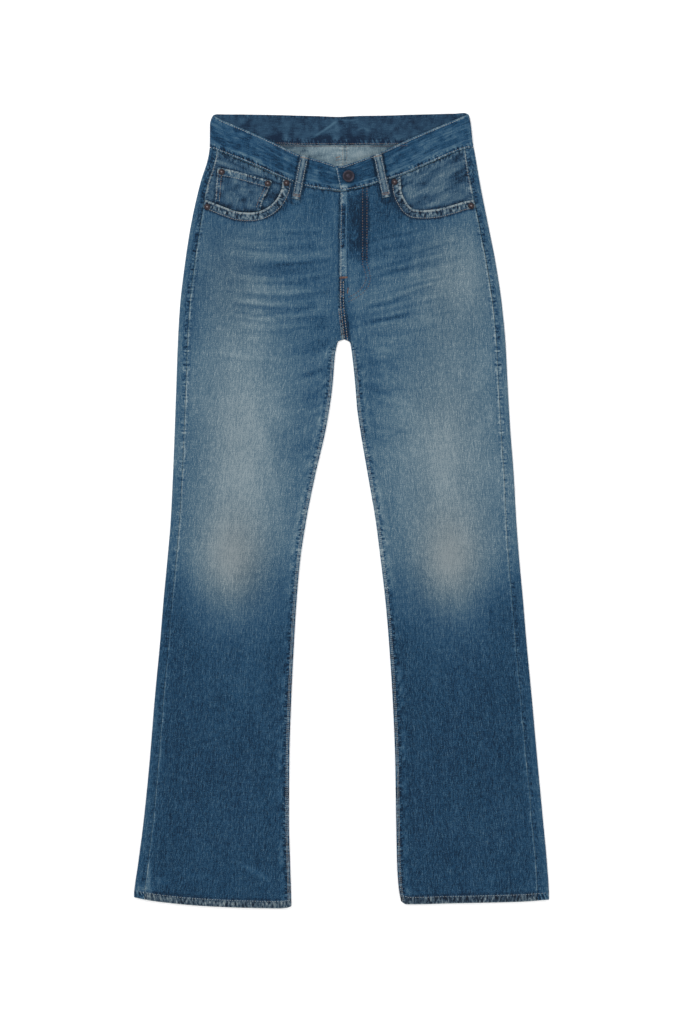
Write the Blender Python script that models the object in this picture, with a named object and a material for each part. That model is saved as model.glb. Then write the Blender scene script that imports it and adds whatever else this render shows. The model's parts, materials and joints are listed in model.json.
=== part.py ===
"""Five-pocket button-fly jeans, laid flat on their back, each piece of cloth a thin closed wall.

Lengths are in millimetres. X runs across the garment, Y from the hems to the waist, Z up from the
surface that it lies on. A drop is a distance down the garment from the waistband's highest point.
Right and left are the wearer's, so the right leg lies at -X. The origin is under the middle.
"""

import math

import bmesh
import bpy

MM = 0.001
RIGHT, LEFT = -1, 1
SIDE_NAMES = {RIGHT: "right", LEFT: "left"}

# Whole garment

LENGTH = 1152.8
CENTRE_BACK_X = 3.6
CROTCH_DROP = 331.0

# Cloth

PANEL_WALL = 1.2
BAND_WALL = 2.4
HEM_WALL = 2.0
HEM_DEPTH = 11.6
SEAM_GAP = 0.3
REST_GAP = 0.5
OVERLAY_GAP = 0.6
PANEL_FOLD_RADIUS = 2.6
BAND_FOLD_RADIUS = 3.2
OUTER_FOLD_RAMP = 40.0
INNER_FOLD_RAMP = 30.0
LAYER_MARGIN = 16.0
LAYER_RAMP = 32.0

# Outer folds of the garment: drop, right x, left x

OUTER_FOLDS = (
    (0.0, -181.5, 181.5),
    (3.0, -185.2, 184.2),
    (8.0, -188.2, 185.8),
    (17.0, -190.6, 187.4),
    (46.0, -190.8, 190.6),
    (61.0, -192.4, 193.6),
    (104.0, -205.0, 200.8),
    (162.0, -218.0, 212.4),
    (220.0, -227.0, 223.8),
    (278.0, -233.8, 232.4),
    (336.0, -237.2, 237.8),
    (395.0, -239.3, 240.8),
    (460.0, -241.6, 244.6),
    (525.0, -244.2, 249.6),
    (590.0, -247.4, 253.2),
    (648.0, -252.3, 257.6),
    (706.0, -257.8, 263.0),
    (764.0, -262.6, 267.8),
    (851.0, -270.8, 276.0),
    (938.0, -277.9, 283.8),
    (1025.0, -286.6, 292.0),
    (1090.0, -295.0, 298.0),
    (1131.0, -300.6, 300.6),
    (1150.0, -301.6, 300.9),
)

# Inner folds of the legs, from the crotch down: drop, right x, left x

INNER_FOLDS = (
    (331.2, -5.1, 12.2),
    (337.0, -6.6, 13.4),
    (351.0, -9.4, 15.4),
    (395.0, -13.0, 20.0),
    (428.0, -17.4, 22.6),
    (460.0, -23.0, 27.2),
    (525.0, -38.0, 38.2),
    (590.0, -51.0, 49.4),
    (648.0, -59.8, 56.8),
    (706.0, -65.0, 63.6),
    (764.0, -68.6, 68.6),
    (851.0, -72.9, 74.2),
    (938.0, -75.6, 77.8),
    (1025.0, -76.1, 79.2),
    (1090.0, -74.4, 80.6),
    (1120.0, -73.4, 82.6),
    (1150.0, -72.6, 87.6),
)

# Width of the strip that the back panel shows in front of the fold: drop, right, left

WRAPS = (
    (50.0, 11.0, 13.4),
    (104.0, 11.0, 13.4),
    (165.0, 14.0, 13.0),
    (400.0, 14.0, 13.2),
    (718.0, 12.4, 15.6),
    (1068.0, 14.0, 16.0),
    (1150.0, 16.0, 17.0),
)

# Fly edge of the left front, the crotch seam, and the right front's edge under the fly: drop, x

FLY_EDGE = ((112.0, -1.2), (148.0, -2.2), (184.0, -2.9), (271.0, -2.9), (307.0, 0.4), (328.4, 3.2))
FLY_UNDERLAP = ((110.0, 9.4), (250.0, 9.4), (258.0, 6.5), (266.0, -1.0), (271.0, -3.2), (307.0, 0.1))
FLY_END_DROP = 262.0
FLY_FADE_DROP = 300.0
CROTCH_SEAM_DROP = 328.4

# Waistband edges and seams over the width: x, drop

FRONT_TOP = (
    (-186.0, 4.2),
    (-176.0, 9.8),
    (-162.0, 15.8),
    (-133.0, 28.0),
    (-104.0, 41.0),
    (-75.0, 55.2),
    (-62.0, 60.8),
    (-45.0, 65.4),
    (-24.0, 71.4),
    (-9.0, 76.6),
    (-2.0, 78.0),
    (12.0, 74.6),
    (27.0, 69.2),
    (43.0, 63.6),
    (60.0, 56.2),
    (85.0, 44.6),
    (114.0, 31.8),
    (143.0, 19.6),
    (160.0, 12.4),
    (184.0, 2.6),
)
FRONT_SEAM = (
    (-191.0, 50.6),
    (-180.0, 55.2),
    (-154.0, 65.4),
    (-125.0, 77.2),
    (-104.0, 86.4),
    (-83.0, 95.8),
    (-66.0, 102.6),
    (-53.0, 106.8),
    (-38.0, 109.6),
    (-17.0, 112.4),
    (-4.0, 114.2),
    (12.0, 112.6),
    (27.0, 109.4),
    (41.0, 105.6),
    (56.0, 100.6),
    (85.0, 91.4),
    (99.0, 85.8),
    (128.0, 73.4),
    (157.0, 60.6),
    (176.0, 53.4),
    (191.0, 50.2),
)
BACK_TOP = (
    (-183.5, 2.0),
    (-133.0, 2.8),
    (-46.0, 4.4),
    (-2.0, 6.2),
    (12.0, 5.2),
    (85.0, 3.4),
    (165.0, 1.2),
    (178.0, 0.1),
    (184.0, 0.3),
)
BACK_SEAM = ((-191.0, 50.6), (-150.0, 48.0), (-89.0, 46.0), (-17.0, 47.0), (85.0, 46.4), (191.0, 50.2))
YOKE_SEAM = ((-205.0, 82.0), (-120.0, 94.0), (3.6, 112.0), (128.0, 94.0), (205.0, 82.0))

# Ends of the waistband at the centre front: x of the top corner and of the bottom corner

BAND_END_LEFT = (-8.8, -1.3)
BAND_END_RIGHT = (12.0, 15.0)
HIDDEN_END_INSET = 1.0

# Hip pocket openings, from the outseam to the waistband seam: x, drop

POCKET_OPENINGS = {
    RIGHT: (
        (-198.6, 126.2),
        (-184.0, 131.6),
        (-166.0, 138.6),
        (-148.0, 144.2),
        (-133.0, 145.2),
        (-120.0, 143.4),
        (-108.0, 138.4),
        (-98.0, 130.4),
        (-91.0, 120.6),
        (-87.0, 110.6),
        (-84.6, 95.6),
    ),
    LEFT: (
        (193.0, 126.8),
        (179.0, 129.0),
        (158.0, 135.2),
        (136.0, 140.4),
        (120.0, 141.6),
        (106.0, 140.8),
        (98.6, 136.6),
        (92.8, 128.2),
        (88.2, 119.0),
        (86.0, 109.0),
        (85.2, 91.6),
    ),
}
FACING_BORDER = 9.0
FACING_END_SHARE = 0.93

# Coin pocket: its top edge and its two sides as x, drop

COIN_TOP = ((-179.2, 79.6), (-154.0, 84.8), (-128.0, 92.0), (-100.4, 99.6))
COIN_OUTER = ((79.6, -179.2), (106.0, -181.8), (133.0, -183.6))
COIN_INNER = ((99.6, -100.4), (110.0, -104.6), (119.0, -109.4), (128.0, -113.8), (140.0, -117.2))
COIN_CLEARANCE = 1.2

# Hem edges of the two legs: x, drop

HEMS = {
    RIGHT: (
        (-301.0, 1136.4),
        (-285.0, 1140.0),
        (-269.0, 1142.6),
        (-228.0, 1147.2),
        (-181.0, 1150.4),
        (-130.0, 1152.2),
        (-90.0, 1152.8),
        (-78.0, 1151.6),
        (-72.6, 1149.4),
    ),
    LEFT: (
        (84.0, 1140.0),
        (88.0, 1143.6),
        (94.0, 1146.8),
        (110.0, 1146.8),
        (149.0, 1145.8),
        (196.0, 1144.8),
        (259.0, 1143.2),
        (301.0, 1140.0),
    ),
}
BACK_HEM_INSET = 1.0

# Pieces between the back and the surface that it lies on

BACK_POCKET_WALL = 1.2
BACK_POCKET_CENTRE = 92.0
BACK_POCKET_TOP_DROP = 128.0
BACK_POCKET_TOP_HALF_WIDTH = 76.0
BACK_POCKET_BOTTOM_HALF_WIDTH = 68.0
BACK_POCKET_SIDE_DEPTH = 140.0
BACK_POCKET_POINT_DEPTH = 162.0
BACK_LOOP_WALL = 1.5
BACK_LOOP_HALF_WIDTH = 6.0
BACK_LOOP_TOP_DROP = 7.5
BACK_LOOP_BOTTOM_DROP = 58.0
BACK_LOOPS = (("side_right", -118.0), ("center_back", 0.0), ("side_left", 118.0))

# Front belt loops: name, top x and drop, bottom x and drop

FRONT_LOOPS = (
    ("front_right", -53.6, 62.8, -66.0, 125.6),
    ("front_left", 51.6, 60.8, 65.2, 123.0),
)
FRONT_LOOP_WIDTH = 11.6
FRONT_LOOP_WALL = 1.6
FRONT_LOOP_ARCH = 1.2

# Metal: x, drop

BUTTON_PLACE = (10.2, 92.8)
BUTTON_RADIUS = 8.6
RIVET_RADIUS = 4.5
RIVETS = (
    ("pocket_outer_right", -194.3, 137.0),
    ("pocket_inner_right", -79.8, 102.2),
    ("coin_outer", -173.6, 86.2),
    ("coin_inner", -106.6, 103.0),
    ("pocket_inner_left", 76.8, 100.8),
    ("pocket_outer_left", 187.8, 135.6),
)

# Largest soft folds of the fronts: from x, drop to x, drop, half width, height

FRONT_FOLDS = (
    (-165.0, 190.0, -20.0, 196.0, 9.0, 0.7),
    (-150.0, 222.0, -28.0, 214.0, 10.0, 0.6),
    (-110.0, 248.0, -22.0, 250.0, 9.0, 0.9),
    (-150.0, 284.0, -40.0, 296.0, 11.0, 0.8),
    (-120.0, 350.0, -30.0, 338.0, 12.0, 0.6),
    (40.0, 196.0, 150.0, 184.0, 9.0, 0.7),
    (36.0, 226.0, 160.0, 212.0, 10.0, 0.7),
    (30.0, 262.0, 150.0, 244.0, 10.0, 0.8),
    (40.0, 306.0, 160.0, 280.0, 11.0, 0.8),
    (36.0, 352.0, 130.0, 340.0, 12.0, 0.6),
    (-214.0, 620.0, -120.0, 652.0, 16.0, 0.6),
    (110.0, 652.0, 206.0, 616.0, 16.0, 0.6),
    (-200.0, 760.0, -110.0, 742.0, 18.0, 0.5),
    (120.0, 740.0, 220.0, 768.0, 18.0, 0.5),
    (-142.0, 1088.0, -118.0, 1104.0, 9.0, 0.8),
    (150.0, 1090.0, 182.0, 1078.0, 9.0, 0.7),
)

# Grid of the panels: drops of the rows below the waist, down to the hem

CELL_ROWS = (
    tuple(range(98, 320, 15))
    + (322, 328.4, 331.4, 337, 346, 360)
    + tuple(range(384, 1120, 44))
)
STRIP_CELLS = 2
FOLD_CELLS = 5
WRAP_CELLS = 2


def lerp(a, b, t):
    return a + (b - a) * t


def smoothstep(start, end, value):
    """0 up to start, 1 from end on, and a soft ramp between."""
    t = min(max((value - start) / (end - start), 0.0), 1.0)
    return t * t * (3.0 - 2.0 * t)


def smooth_line(rows, column=1):
    """A smooth function through a table's first column and one other, held at its ends."""
    keys = [row[0] for row in rows]
    values = [row[column] for row in rows]
    steps = [(values[i + 1] - values[i]) / (keys[i + 1] - keys[i]) for i in range(len(keys) - 1)]
    slopes = [steps[0]]
    for before, after in zip(steps, steps[1:]):
        turns = before * after <= 0.0
        slopes.append(0.0 if turns else 2.0 * before * after / (before + after))
    slopes.append(steps[-1])

    def at(key):
        if key <= keys[0]:
            return values[0]
        if key >= keys[-1]:
            return values[-1]
        i = max(n for n in range(len(keys) - 1) if keys[n] <= key)
        width = keys[i + 1] - keys[i]
        t = (key - keys[i]) / width
        rest = 1.0 - t
        near = (1.0 + 2.0 * t) * rest * rest * values[i] + t * rest * rest * width * slopes[i]
        far = t * t * (3.0 - 2.0 * t) * values[i + 1] - t * t * rest * width * slopes[i + 1]
        return near + far

    return at


OUTER_X = {side: smooth_line(OUTER_FOLDS, 1 if side == RIGHT else 2) for side in SIDE_NAMES}
INNER_X = {side: smooth_line(INNER_FOLDS, 1 if side == RIGHT else 2) for side in SIDE_NAMES}
WRAP_WIDTH = {side: smooth_line(WRAPS, 1 if side == RIGHT else 2) for side in SIDE_NAMES}
FRONT_TOP_DROP = smooth_line(FRONT_TOP)
FRONT_SEAM_DROP = smooth_line(FRONT_SEAM)
BACK_TOP_DROP = smooth_line(BACK_TOP)
BACK_SEAM_DROP = smooth_line(BACK_SEAM)
YOKE_SEAM_DROP = smooth_line(YOKE_SEAM)
HEM_DROP = {side: smooth_line(HEMS[side]) for side in SIDE_NAMES}
FLY_EDGE_X = smooth_line(FLY_EDGE)
FLY_UNDERLAP_X = smooth_line(FLY_UNDERLAP)


def outseam_x(side, drop):
    """The seam between the front and the back panel, on the upper layer."""
    return OUTER_X[side](drop) - side * WRAP_WIDTH[side](drop)


def front_inner_x(side, drop):
    """A front panel's inner edge: the fly, then the crotch seam, then the inner fold of the leg."""
    if drop >= CROTCH_DROP:
        return INNER_X[side](drop)
    if drop <= CROTCH_SEAM_DROP:
        seam = FLY_EDGE_X(drop)
        if side == LEFT:
            return seam
        return min(FLY_UNDERLAP_X(drop), seam - SEAM_GAP) if drop > FLY_END_DROP else FLY_UNDERLAP_X(drop)
    seam = FLY_EDGE_X(CROTCH_SEAM_DROP) - (SEAM_GAP if side == RIGHT else 0.0)
    share = (drop - CROTCH_SEAM_DROP) / (CROTCH_DROP - CROTCH_SEAM_DROP)
    return lerp(seam, INNER_X[side](CROTCH_DROP), share)


def back_inner_x(side, drop):
    """A back panel's inner edge: the seat seam, then the inner fold of the leg."""
    seam = CENTRE_BACK_X + side * SEAM_GAP / 2
    if drop <= CROTCH_SEAM_DROP:
        return seam
    share = min((drop - CROTCH_SEAM_DROP) / (CROTCH_DROP - CROTCH_SEAM_DROP), 1.0)
    return lerp(seam, INNER_X[side](drop), share)


def curl(drop):
    """How far the cloth turns round the inner fold: not at all over the crotch, fully under it."""
    return smoothstep(CROTCH_DROP, CROTCH_DROP + 22.0, drop)


def side_of(x):
    return RIGHT if x < CENTRE_BACK_X else LEFT


def fold_share(x, drop):
    """1 at an outer or inner fold, falling to 0 where the upper layer rests on the lower one."""
    side = side_of(x)
    outer = 1.0 - smoothstep(3.4, OUTER_FOLD_RAMP, abs(x - OUTER_X[side](drop)))
    inner = 1.0 - smoothstep(3.4, INNER_FOLD_RAMP, abs(x - INNER_X[side](drop)))
    return max(outer, inner * curl(drop))


def plateau(away):
    """1 within the margin round a hidden layer, and a soft ramp down to 0 outside it."""
    return 1.0 - smoothstep(LAYER_MARGIN, LAYER_MARGIN + LAYER_RAMP, away)


def lift(x, drop):
    """How far the back pockets and the back belt loops raise the cloth that lies on them."""
    pocket_middle = BACK_POCKET_TOP_DROP + BACK_POCKET_POINT_DEPTH / 2
    pocket_x = abs(abs(x - CENTRE_BACK_X) - BACK_POCKET_CENTRE) - BACK_POCKET_TOP_HALF_WIDTH
    pocket_drop = abs(drop - pocket_middle) - BACK_POCKET_POINT_DEPTH / 2
    rise = (BACK_POCKET_WALL + SEAM_GAP) * plateau(max(pocket_x, pocket_drop))
    loop_middle = (BACK_LOOP_TOP_DROP + BACK_LOOP_BOTTOM_DROP) / 2
    loop_drop = abs(drop - loop_middle) - (BACK_LOOP_BOTTOM_DROP - BACK_LOOP_TOP_DROP) / 2
    for _, loop_x in BACK_LOOPS:
        away = abs(x - CENTRE_BACK_X - loop_x) - BACK_LOOP_HALF_WIDTH
        rise = max(rise, (BACK_LOOP_WALL + SEAM_GAP) * plateau(max(away, loop_drop)))
    return rise


def hem_share(x, drop):
    """1 over the turned-up hem and its margin, 0 above its ramp."""
    hem_top = HEM_DROP[side_of(x)](x) - HEM_DEPTH
    return 1.0 - smoothstep(LAYER_MARGIN, LAYER_MARGIN + LAYER_RAMP, hem_top - drop)


def lower_layer(x, drop):
    """Room that the lower layer takes: the waistband's doubled cloth, the hem's, or one panel."""
    band = lerp(PANEL_WALL, BAND_WALL, plateau(drop - BACK_SEAM_DROP(x)))
    return max(band, lerp(PANEL_WALL, HEM_WALL, hem_share(x, drop)))


def folds(x, drop):
    """The soft folds pressed into the fronts, faded out at the folded edges."""
    height = 0.0
    for x0, drop0, x1, drop1, half_width, tall in FRONT_FOLDS:
        run = (x1 - x0, drop1 - drop0)
        length = math.hypot(*run)
        along = ((x - x0) * run[0] + (drop - drop0) * run[1]) / length
        across = ((x - x0) * run[1] - (drop - drop0) * run[0]) / length
        ends = smoothstep(-18.0, 24.0, along) * smoothstep(-18.0, 24.0, length - along)
        height += tall * ends * math.exp(-((across / half_width) ** 2))
    return height * (1.0 - fold_share(x, drop))


def upper_height(x, drop, wall, fold_height):
    """Top of a piece of the upper layer."""
    rest = lower_layer(x, drop) + REST_GAP + wall
    return lift(x, drop) + lerp(rest, fold_height, fold_share(x, drop))


def facing_height(x, drop):
    return upper_height(x, drop, PANEL_WALL, 2 * PANEL_FOLD_RADIUS)


def band_front_height(x, drop, is_left_end):
    rise = 0.0
    if is_left_end:
        rise = (BAND_WALL + OVERLAY_GAP) * plateau(x - BAND_END_RIGHT[1])
    return upper_height(x, drop, BAND_WALL, 2 * BAND_FOLD_RADIUS) + rise


def distance_to(points, x, drop):
    """The shortest distance from a place to a line through points."""
    best = math.inf
    for (x0, drop0), (x1, drop1) in zip(points, points[1:]):
        run = (x1 - x0, drop1 - drop0)
        share = ((x - x0) * run[0] + (drop - drop0) * run[1]) / (run[0] ** 2 + run[1] ** 2)
        share = min(max(share, 0.0), 1.0)
        best = min(best, math.hypot(x - x0 - run[0] * share, drop - drop0 - run[1] * share))
    return best


def front_height(side, x, drop):
    """Top of a front panel: over the pocket facing and the fly it rides one layer higher."""
    wall = lerp(PANEL_WALL, HEM_WALL, hem_share(x, drop))
    overlay = PANEL_WALL + OVERLAY_GAP
    rise = overlay * plateau(distance_to(POCKET_OPENINGS[side], x, drop) - FACING_BORDER)
    if side == LEFT:
        fly = plateau(x - FLY_UNDERLAP[0][1]) * (1.0 - smoothstep(FLY_END_DROP, FLY_FADE_DROP, drop))
        rise = max(rise, overlay * fly)
    return upper_height(x, drop, wall, 2 * PANEL_FOLD_RADIUS) + rise + folds(x, drop)


def spread(points, cells):
    """Points at even distances along a line through points."""
    lengths = [math.dist(a, b) for a, b in zip(points, points[1:])]
    places = []
    for n in range(cells + 1):
        left = sum(lengths) * n / cells
        i = 0
        while i < len(lengths) - 1 and left > lengths[i]:
            left -= lengths[i]
            i += 1
        share = left / lengths[i]
        places.append(tuple(lerp(a, b, share) for a, b in zip(points[i], points[i + 1])))
    return places


def rounded(points, cells):
    """Even points along a smooth curve through a few."""
    lengths = [0.0]
    for a, b in zip(points, points[1:]):
        lengths.append(lengths[-1] + math.dist(a, b))
    x_at = smooth_line([(s, p[0]) for s, p in zip(lengths, points)])
    drop_at = smooth_line([(s, p[1]) for s, p in zip(lengths, points)])
    fine = [lengths[-1] * n / 200 for n in range(201)]
    return spread([(x_at(s), drop_at(s)) for s in fine], cells)


def meet(line, place, start):
    """The drop at which a column, whose x follows from its drop, meets a line."""
    drop = start
    for _ in range(8):
        drop = line(place(drop))
    return drop


def principled(name, colour, roughness, metallic=0.0):
    """A plain material; the colour's parts run from 0 to 255 as a screen shows them."""
    material = bpy.data.materials.new(name)
    material.use_nodes = True
    shader = material.node_tree.nodes["Principled BSDF"]
    linear = [(part / 255) ** 2.2 for part in colour]
    shader.inputs["Base Color"].default_value = (*linear, 1.0)
    shader.inputs["Roughness"].default_value = roughness
    shader.inputs["Metallic"].default_value = metallic
    material.diffuse_color = (*linear, 1.0)
    return material


def finish(name, mesh, colour, roughness, metallic=0.0):
    """Turn the finished mesh into an object of its own, in metres."""
    bmesh.ops.recalc_face_normals(mesh, faces=list(mesh.faces))
    bmesh.ops.scale(mesh, vec=(MM, MM, MM), verts=list(mesh.verts))
    data = bpy.data.meshes.new(name)
    mesh.to_mesh(data)
    mesh.free()
    data.shade_smooth()
    data.set_sharp_from_angle(angle=math.radians(40))
    piece = bpy.data.objects.new(name, data)
    piece.data.materials.append(principled(name + "_material", colour, roughness, metallic))
    bpy.context.scene.collection.objects.link(piece)
    return piece


def point(x, drop, z):
    return (x, LENGTH / 2 - drop, z)


def cloth(name, across, down, place, colour):
    """A closed wall of cloth. place(i, j) gives the outer and the inner point of a grid corner."""
    mesh = bmesh.new()
    bmesh.ops.create_grid(mesh, x_segments=across, y_segments=down, size=1.0)
    made = bmesh.ops.extrude_face_region(mesh, geom=list(mesh.faces))
    outer = {v for v in made["geom"] if isinstance(v, bmesh.types.BMVert)}
    for v in mesh.verts:
        i = round((v.co.x + 1.0) / 2 * across)
        j = round((v.co.y + 1.0) / 2 * down)
        v.co = place(i, j)[0 if v in outer else 1]
    return finish(name, mesh, colour, 0.9)


def upper_pair(x, drop, top, wall):
    """The outer and inner point of the upper layer where it lies level."""
    return point(x, drop, top), point(x, drop, top - wall)


def lower_pair(x, drop, wall):
    """The outer and inner point of the lower layer, whose outer side faces down."""
    bottom = lift(x, drop)
    return point(x, drop, bottom), point(x, drop, bottom + wall)


def arc_pair(centre, drop, direction, angle, radius, wall):
    """The outer and inner point on a fold round an x and a z. Angle 90 is on top, -90 underneath."""
    turn = math.radians(angle)
    out = (direction * math.cos(turn), math.sin(turn))
    pair = []
    for reach in (radius, radius - wall):
        pair.append(point(centre[0] + out[0] * reach, drop, centre[1] + out[1] * reach))
    return tuple(pair)


def back_sheet(name, side, rows, top_line, bottom_line, wall_at, flat_cells, colour):
    """A back piece, from its inner edge along the lower layer and round the outer fold to the outseam.

    rows are shares from the top edge to the bottom edge. The two lines give drops over (x, on_top).
    """
    radius = PANEL_FOLD_RADIUS
    half_gap = math.degrees(SEAM_GAP / 2 / radius)
    strip = radius * math.radians(90 - half_gap)
    stations = [("strip", n / STRIP_CELLS) for n in range(STRIP_CELLS)]
    stations += [("flat", n / flat_cells) for n in range(flat_cells)]
    stations += [("fold", n / FOLD_CELLS) for n in range(FOLD_CELLS)]
    stations += [("wrap", n / WRAP_CELLS) for n in range(WRAP_CELLS + 1)]

    def x_of(station, drop):
        part, share = station
        inner = back_inner_x(side, drop)
        outer = OUTER_X[side](drop) - side * radius
        if part == "strip":
            return lerp(inner, inner + side * strip, share)
        if part == "flat":
            return lerp(inner + side * strip, outer, share)
        if part == "fold":
            return outer + side * radius * math.sin(math.pi * share)
        return lerp(outer, outseam_x(side, drop) + side * SEAM_GAP / 2, share)

    def pair_at(station, drop, wall):
        part, share = station
        x = x_of(station, drop)
        turned = radius * curl(drop)
        inner = back_inner_x(side, drop)
        if part == "strip" and turned > strip * share:
            angle = -half_gap - (90 - half_gap) * share * radius / turned
            if angle > -90:
                centre = (inner + side * turned, lift(x, drop) + turned)
                return arc_pair(centre, drop, -side, angle, turned, min(wall, turned))
        if part in ("strip", "flat"):
            return lower_pair(x, drop, wall)
        outer = OUTER_X[side](drop) - side * radius
        if part == "fold":
            return arc_pair((outer, lift(outer, drop) + radius), drop, side, -90 + 180 * share, radius, wall)
        top = upper_height(x, drop, lerp(PANEL_WALL, HEM_WALL, hem_share(x, drop)), 2 * radius)
        return upper_pair(x, drop, top, wall)

    ends = []
    for station in stations:
        on_top = station[0] == "wrap" or station[0] == "fold" and station[1] > 0.5
        top = meet(lambda x: top_line(x, on_top), lambda drop: x_of(station, drop), 90.0)
        bottom = meet(lambda x: bottom_line(x, on_top), lambda drop: x_of(station, drop), 1100.0)
        ends.append((top, bottom))

    def place(i, j):
        drop = lerp(ends[i][0], ends[i][1], rows[j])
        return pair_at(stations[i], drop, wall_at(rows[j]))

    return cloth(name, len(stations) - 1, len(rows) - 1, place, colour)


def panel_rows(top_drop, bottom_drop):
    """Row shares of a panel, with the step of the hem between the last two but one."""
    depth = bottom_drop - top_drop
    shares = [0.0]
    shares += [(drop - top_drop) / depth for drop in CELL_ROWS if drop > top_drop + 6.0]
    hem = 1.0 - HEM_DEPTH / depth
    return shares + [hem - 0.5 / depth, hem + 0.5 / depth, 1.0], hem


def yoke(side):
    """The shaped piece between the waistband and the back panel."""

    def top_line(x, on_top):
        return (FRONT_SEAM_DROP(x) if on_top else BACK_SEAM_DROP(x)) + SEAM_GAP

    def bottom_line(x, on_top):
        return YOKE_SEAM_DROP(x) - SEAM_GAP / 2

    rows = [n / 4 for n in range(5)]
    back_sheet(f"yoke_{SIDE_NAMES[side]}", side, rows, top_line, bottom_line,
               lambda share: PANEL_WALL, 9, (113, 135, 146))


def back_panel(side):
    """A back panel, which wraps round the outer fold to the outseam."""

    def top_line(x, on_top):
        return YOKE_SEAM_DROP(x) + SEAM_GAP / 2

    def bottom_line(x, on_top):
        return HEM_DROP[side](x) - (0.0 if on_top else BACK_HEM_INSET)

    rows, hem = panel_rows(YOKE_SEAM_DROP(side * 100.0), HEM_DROP[side](side * 200.0))
    back_sheet(f"back_panel_{SIDE_NAMES[side]}", side, rows, top_line, bottom_line,
               lambda share: HEM_WALL if share > hem else PANEL_WALL, 7, (58, 88, 110))


def front_panel(side):
    """A front panel, its top edge along the pocket opening and then the waistband seam."""
    radius = PANEL_FOLD_RADIUS
    half_gap = math.degrees(SEAM_GAP / 2 / radius)
    strip = radius * math.radians(90 - half_gap)
    pocket_cells, seam_cells = 10, 6
    flat_cells = pocket_cells + seam_cells
    cells = flat_cells + STRIP_CELLS

    opening = rounded(POCKET_OPENINGS[side], pocket_cells)
    corner_x = opening[-1][0]
    end_x = front_inner_x(side, FRONT_SEAM_DROP(front_inner_x(side, 115.0)))
    flat_end = end_x + side * strip
    top = list(opening[:-1])
    for n in range(seam_cells):
        x = lerp(corner_x, flat_end, n / seam_cells)
        top.append((x, FRONT_SEAM_DROP(x) + SEAM_GAP))
    for n in range(STRIP_CELLS + 1):
        x = lerp(flat_end, end_x, n / STRIP_CELLS)
        top.append((x, FRONT_SEAM_DROP(x) + SEAM_GAP))

    def width(drop):
        turned = radius * curl(drop)
        edge = outseam_x(side, drop) - side * SEAM_GAP / 2
        flat = abs(front_inner_x(side, drop) - edge) - turned
        return edge, flat, flat + turned * math.radians(90 - half_gap), turned

    def top_share(i):
        x, drop = top[i]
        edge, _, whole, _ = width(drop)
        return abs(x - edge) / whole

    def low_share(i, drop):
        whole = width(drop)[2]
        if i <= flat_cells:
            return (whole - strip) / whole * i / flat_cells
        return 1.0 - strip / whole * (cells - i) / STRIP_CELLS

    def x_at(share, drop):
        edge, flat, whole, turned = width(drop)
        reach = share * whole
        if reach <= flat:
            return edge - side * reach
        return edge - side * (flat + turned * math.sin((reach - flat) / turned))

    def pair_at(share, drop, wall):
        edge, flat, whole, turned = width(drop)
        reach = share * whole
        level_x = edge - side * min(reach, flat)
        height = front_height(side, level_x, drop)
        if reach <= flat + 1e-6:
            return upper_pair(level_x, drop, height, wall)
        angle = 90 - math.degrees((reach - flat) / turned)
        return arc_pair((level_x, height - turned), drop, -side, angle, turned, min(wall, turned))

    rows, hem = panel_rows(112.0, HEM_DROP[side](side * 200.0))
    hem_drops = []
    for i in range(cells + 1):
        hem_drops.append(meet(HEM_DROP[side], lambda drop: x_at(low_share(i, drop), drop), 1140.0))

    def place(i, j):
        drop = lerp(top[i][1], hem_drops[i], rows[j])
        share = lerp(top_share(i), low_share(i, drop), smoothstep(0.0, 0.22, rows[j]))
        return pair_at(share, drop, HEM_WALL if rows[j] > hem else PANEL_WALL)

    return cloth(f"front_panel_{SIDE_NAMES[side]}", cells, len(rows) - 1, place, (75, 103, 123))


def pocket_facing(side):
    """The cloth that shows in a hip pocket opening and reaches a little way under the front panel."""
    cells = 10
    opening = rounded(POCKET_OPENINGS[side], 100)
    keep = opening[: int(100 * FACING_END_SHARE) + 1]
    border = []
    for a, b in zip(keep, keep[1:]):
        length = math.dist(a, b)
        away = (side * (b[1] - a[1]) / length, -side * (b[0] - a[0]) / length)
        border.append((a[0] + away[0] * FACING_BORDER, a[1] + away[1] * FACING_BORDER))
    bottom = spread(border, cells)
    start_x = outseam_x(side, FRONT_SEAM_DROP(outseam_x(side, 58.0)))

    def place(i, j):
        share = i / cells
        top_x = lerp(start_x, bottom[-1][0], share)
        x = lerp(top_x, bottom[i][0], j / cells)
        drop = lerp(FRONT_SEAM_DROP(top_x) + SEAM_GAP, bottom[i][1], j / cells)
        seam_x = outseam_x(side, drop) - side * SEAM_GAP / 2
        start_gap = seam_x - lerp(start_x, bottom[0][0], j / cells)
        x += start_gap * (1.0 - share)
        return upper_pair(x, drop, facing_height(x, drop), PANEL_WALL)

    return cloth(f"pocket_facing_{SIDE_NAMES[side]}", cells, cells, place, (62, 90, 108))


def coin_pocket():
    """The small pocket on the right facing. Its lower end goes under the pocket opening's edge."""
    across, down = 10, 8
    top_at = smooth_line(COIN_TOP)
    outer_at = smooth_line(COIN_OUTER)
    inner_at = smooth_line(COIN_INNER)
    opening = rounded(POCKET_OPENINGS[RIGHT], 60)
    opening_at = smooth_line(opening)

    def x_at(share, drop):
        return lerp(outer_at(drop), inner_at(drop), share)

    def place(i, j):
        share = i / across
        top = meet(top_at, lambda drop: x_at(share, drop), 88.0)
        bottom = meet(opening_at, lambda drop: x_at(share, drop), 140.0) - COIN_CLEARANCE
        drop = lerp(top, bottom, j / down)
        x = x_at(share, drop)
        return upper_pair(x, drop, facing_height(x, drop) + SEAM_GAP + PANEL_WALL, PANEL_WALL)

    return cloth("coin_pocket", across, down, place, (66, 94, 113))


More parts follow.
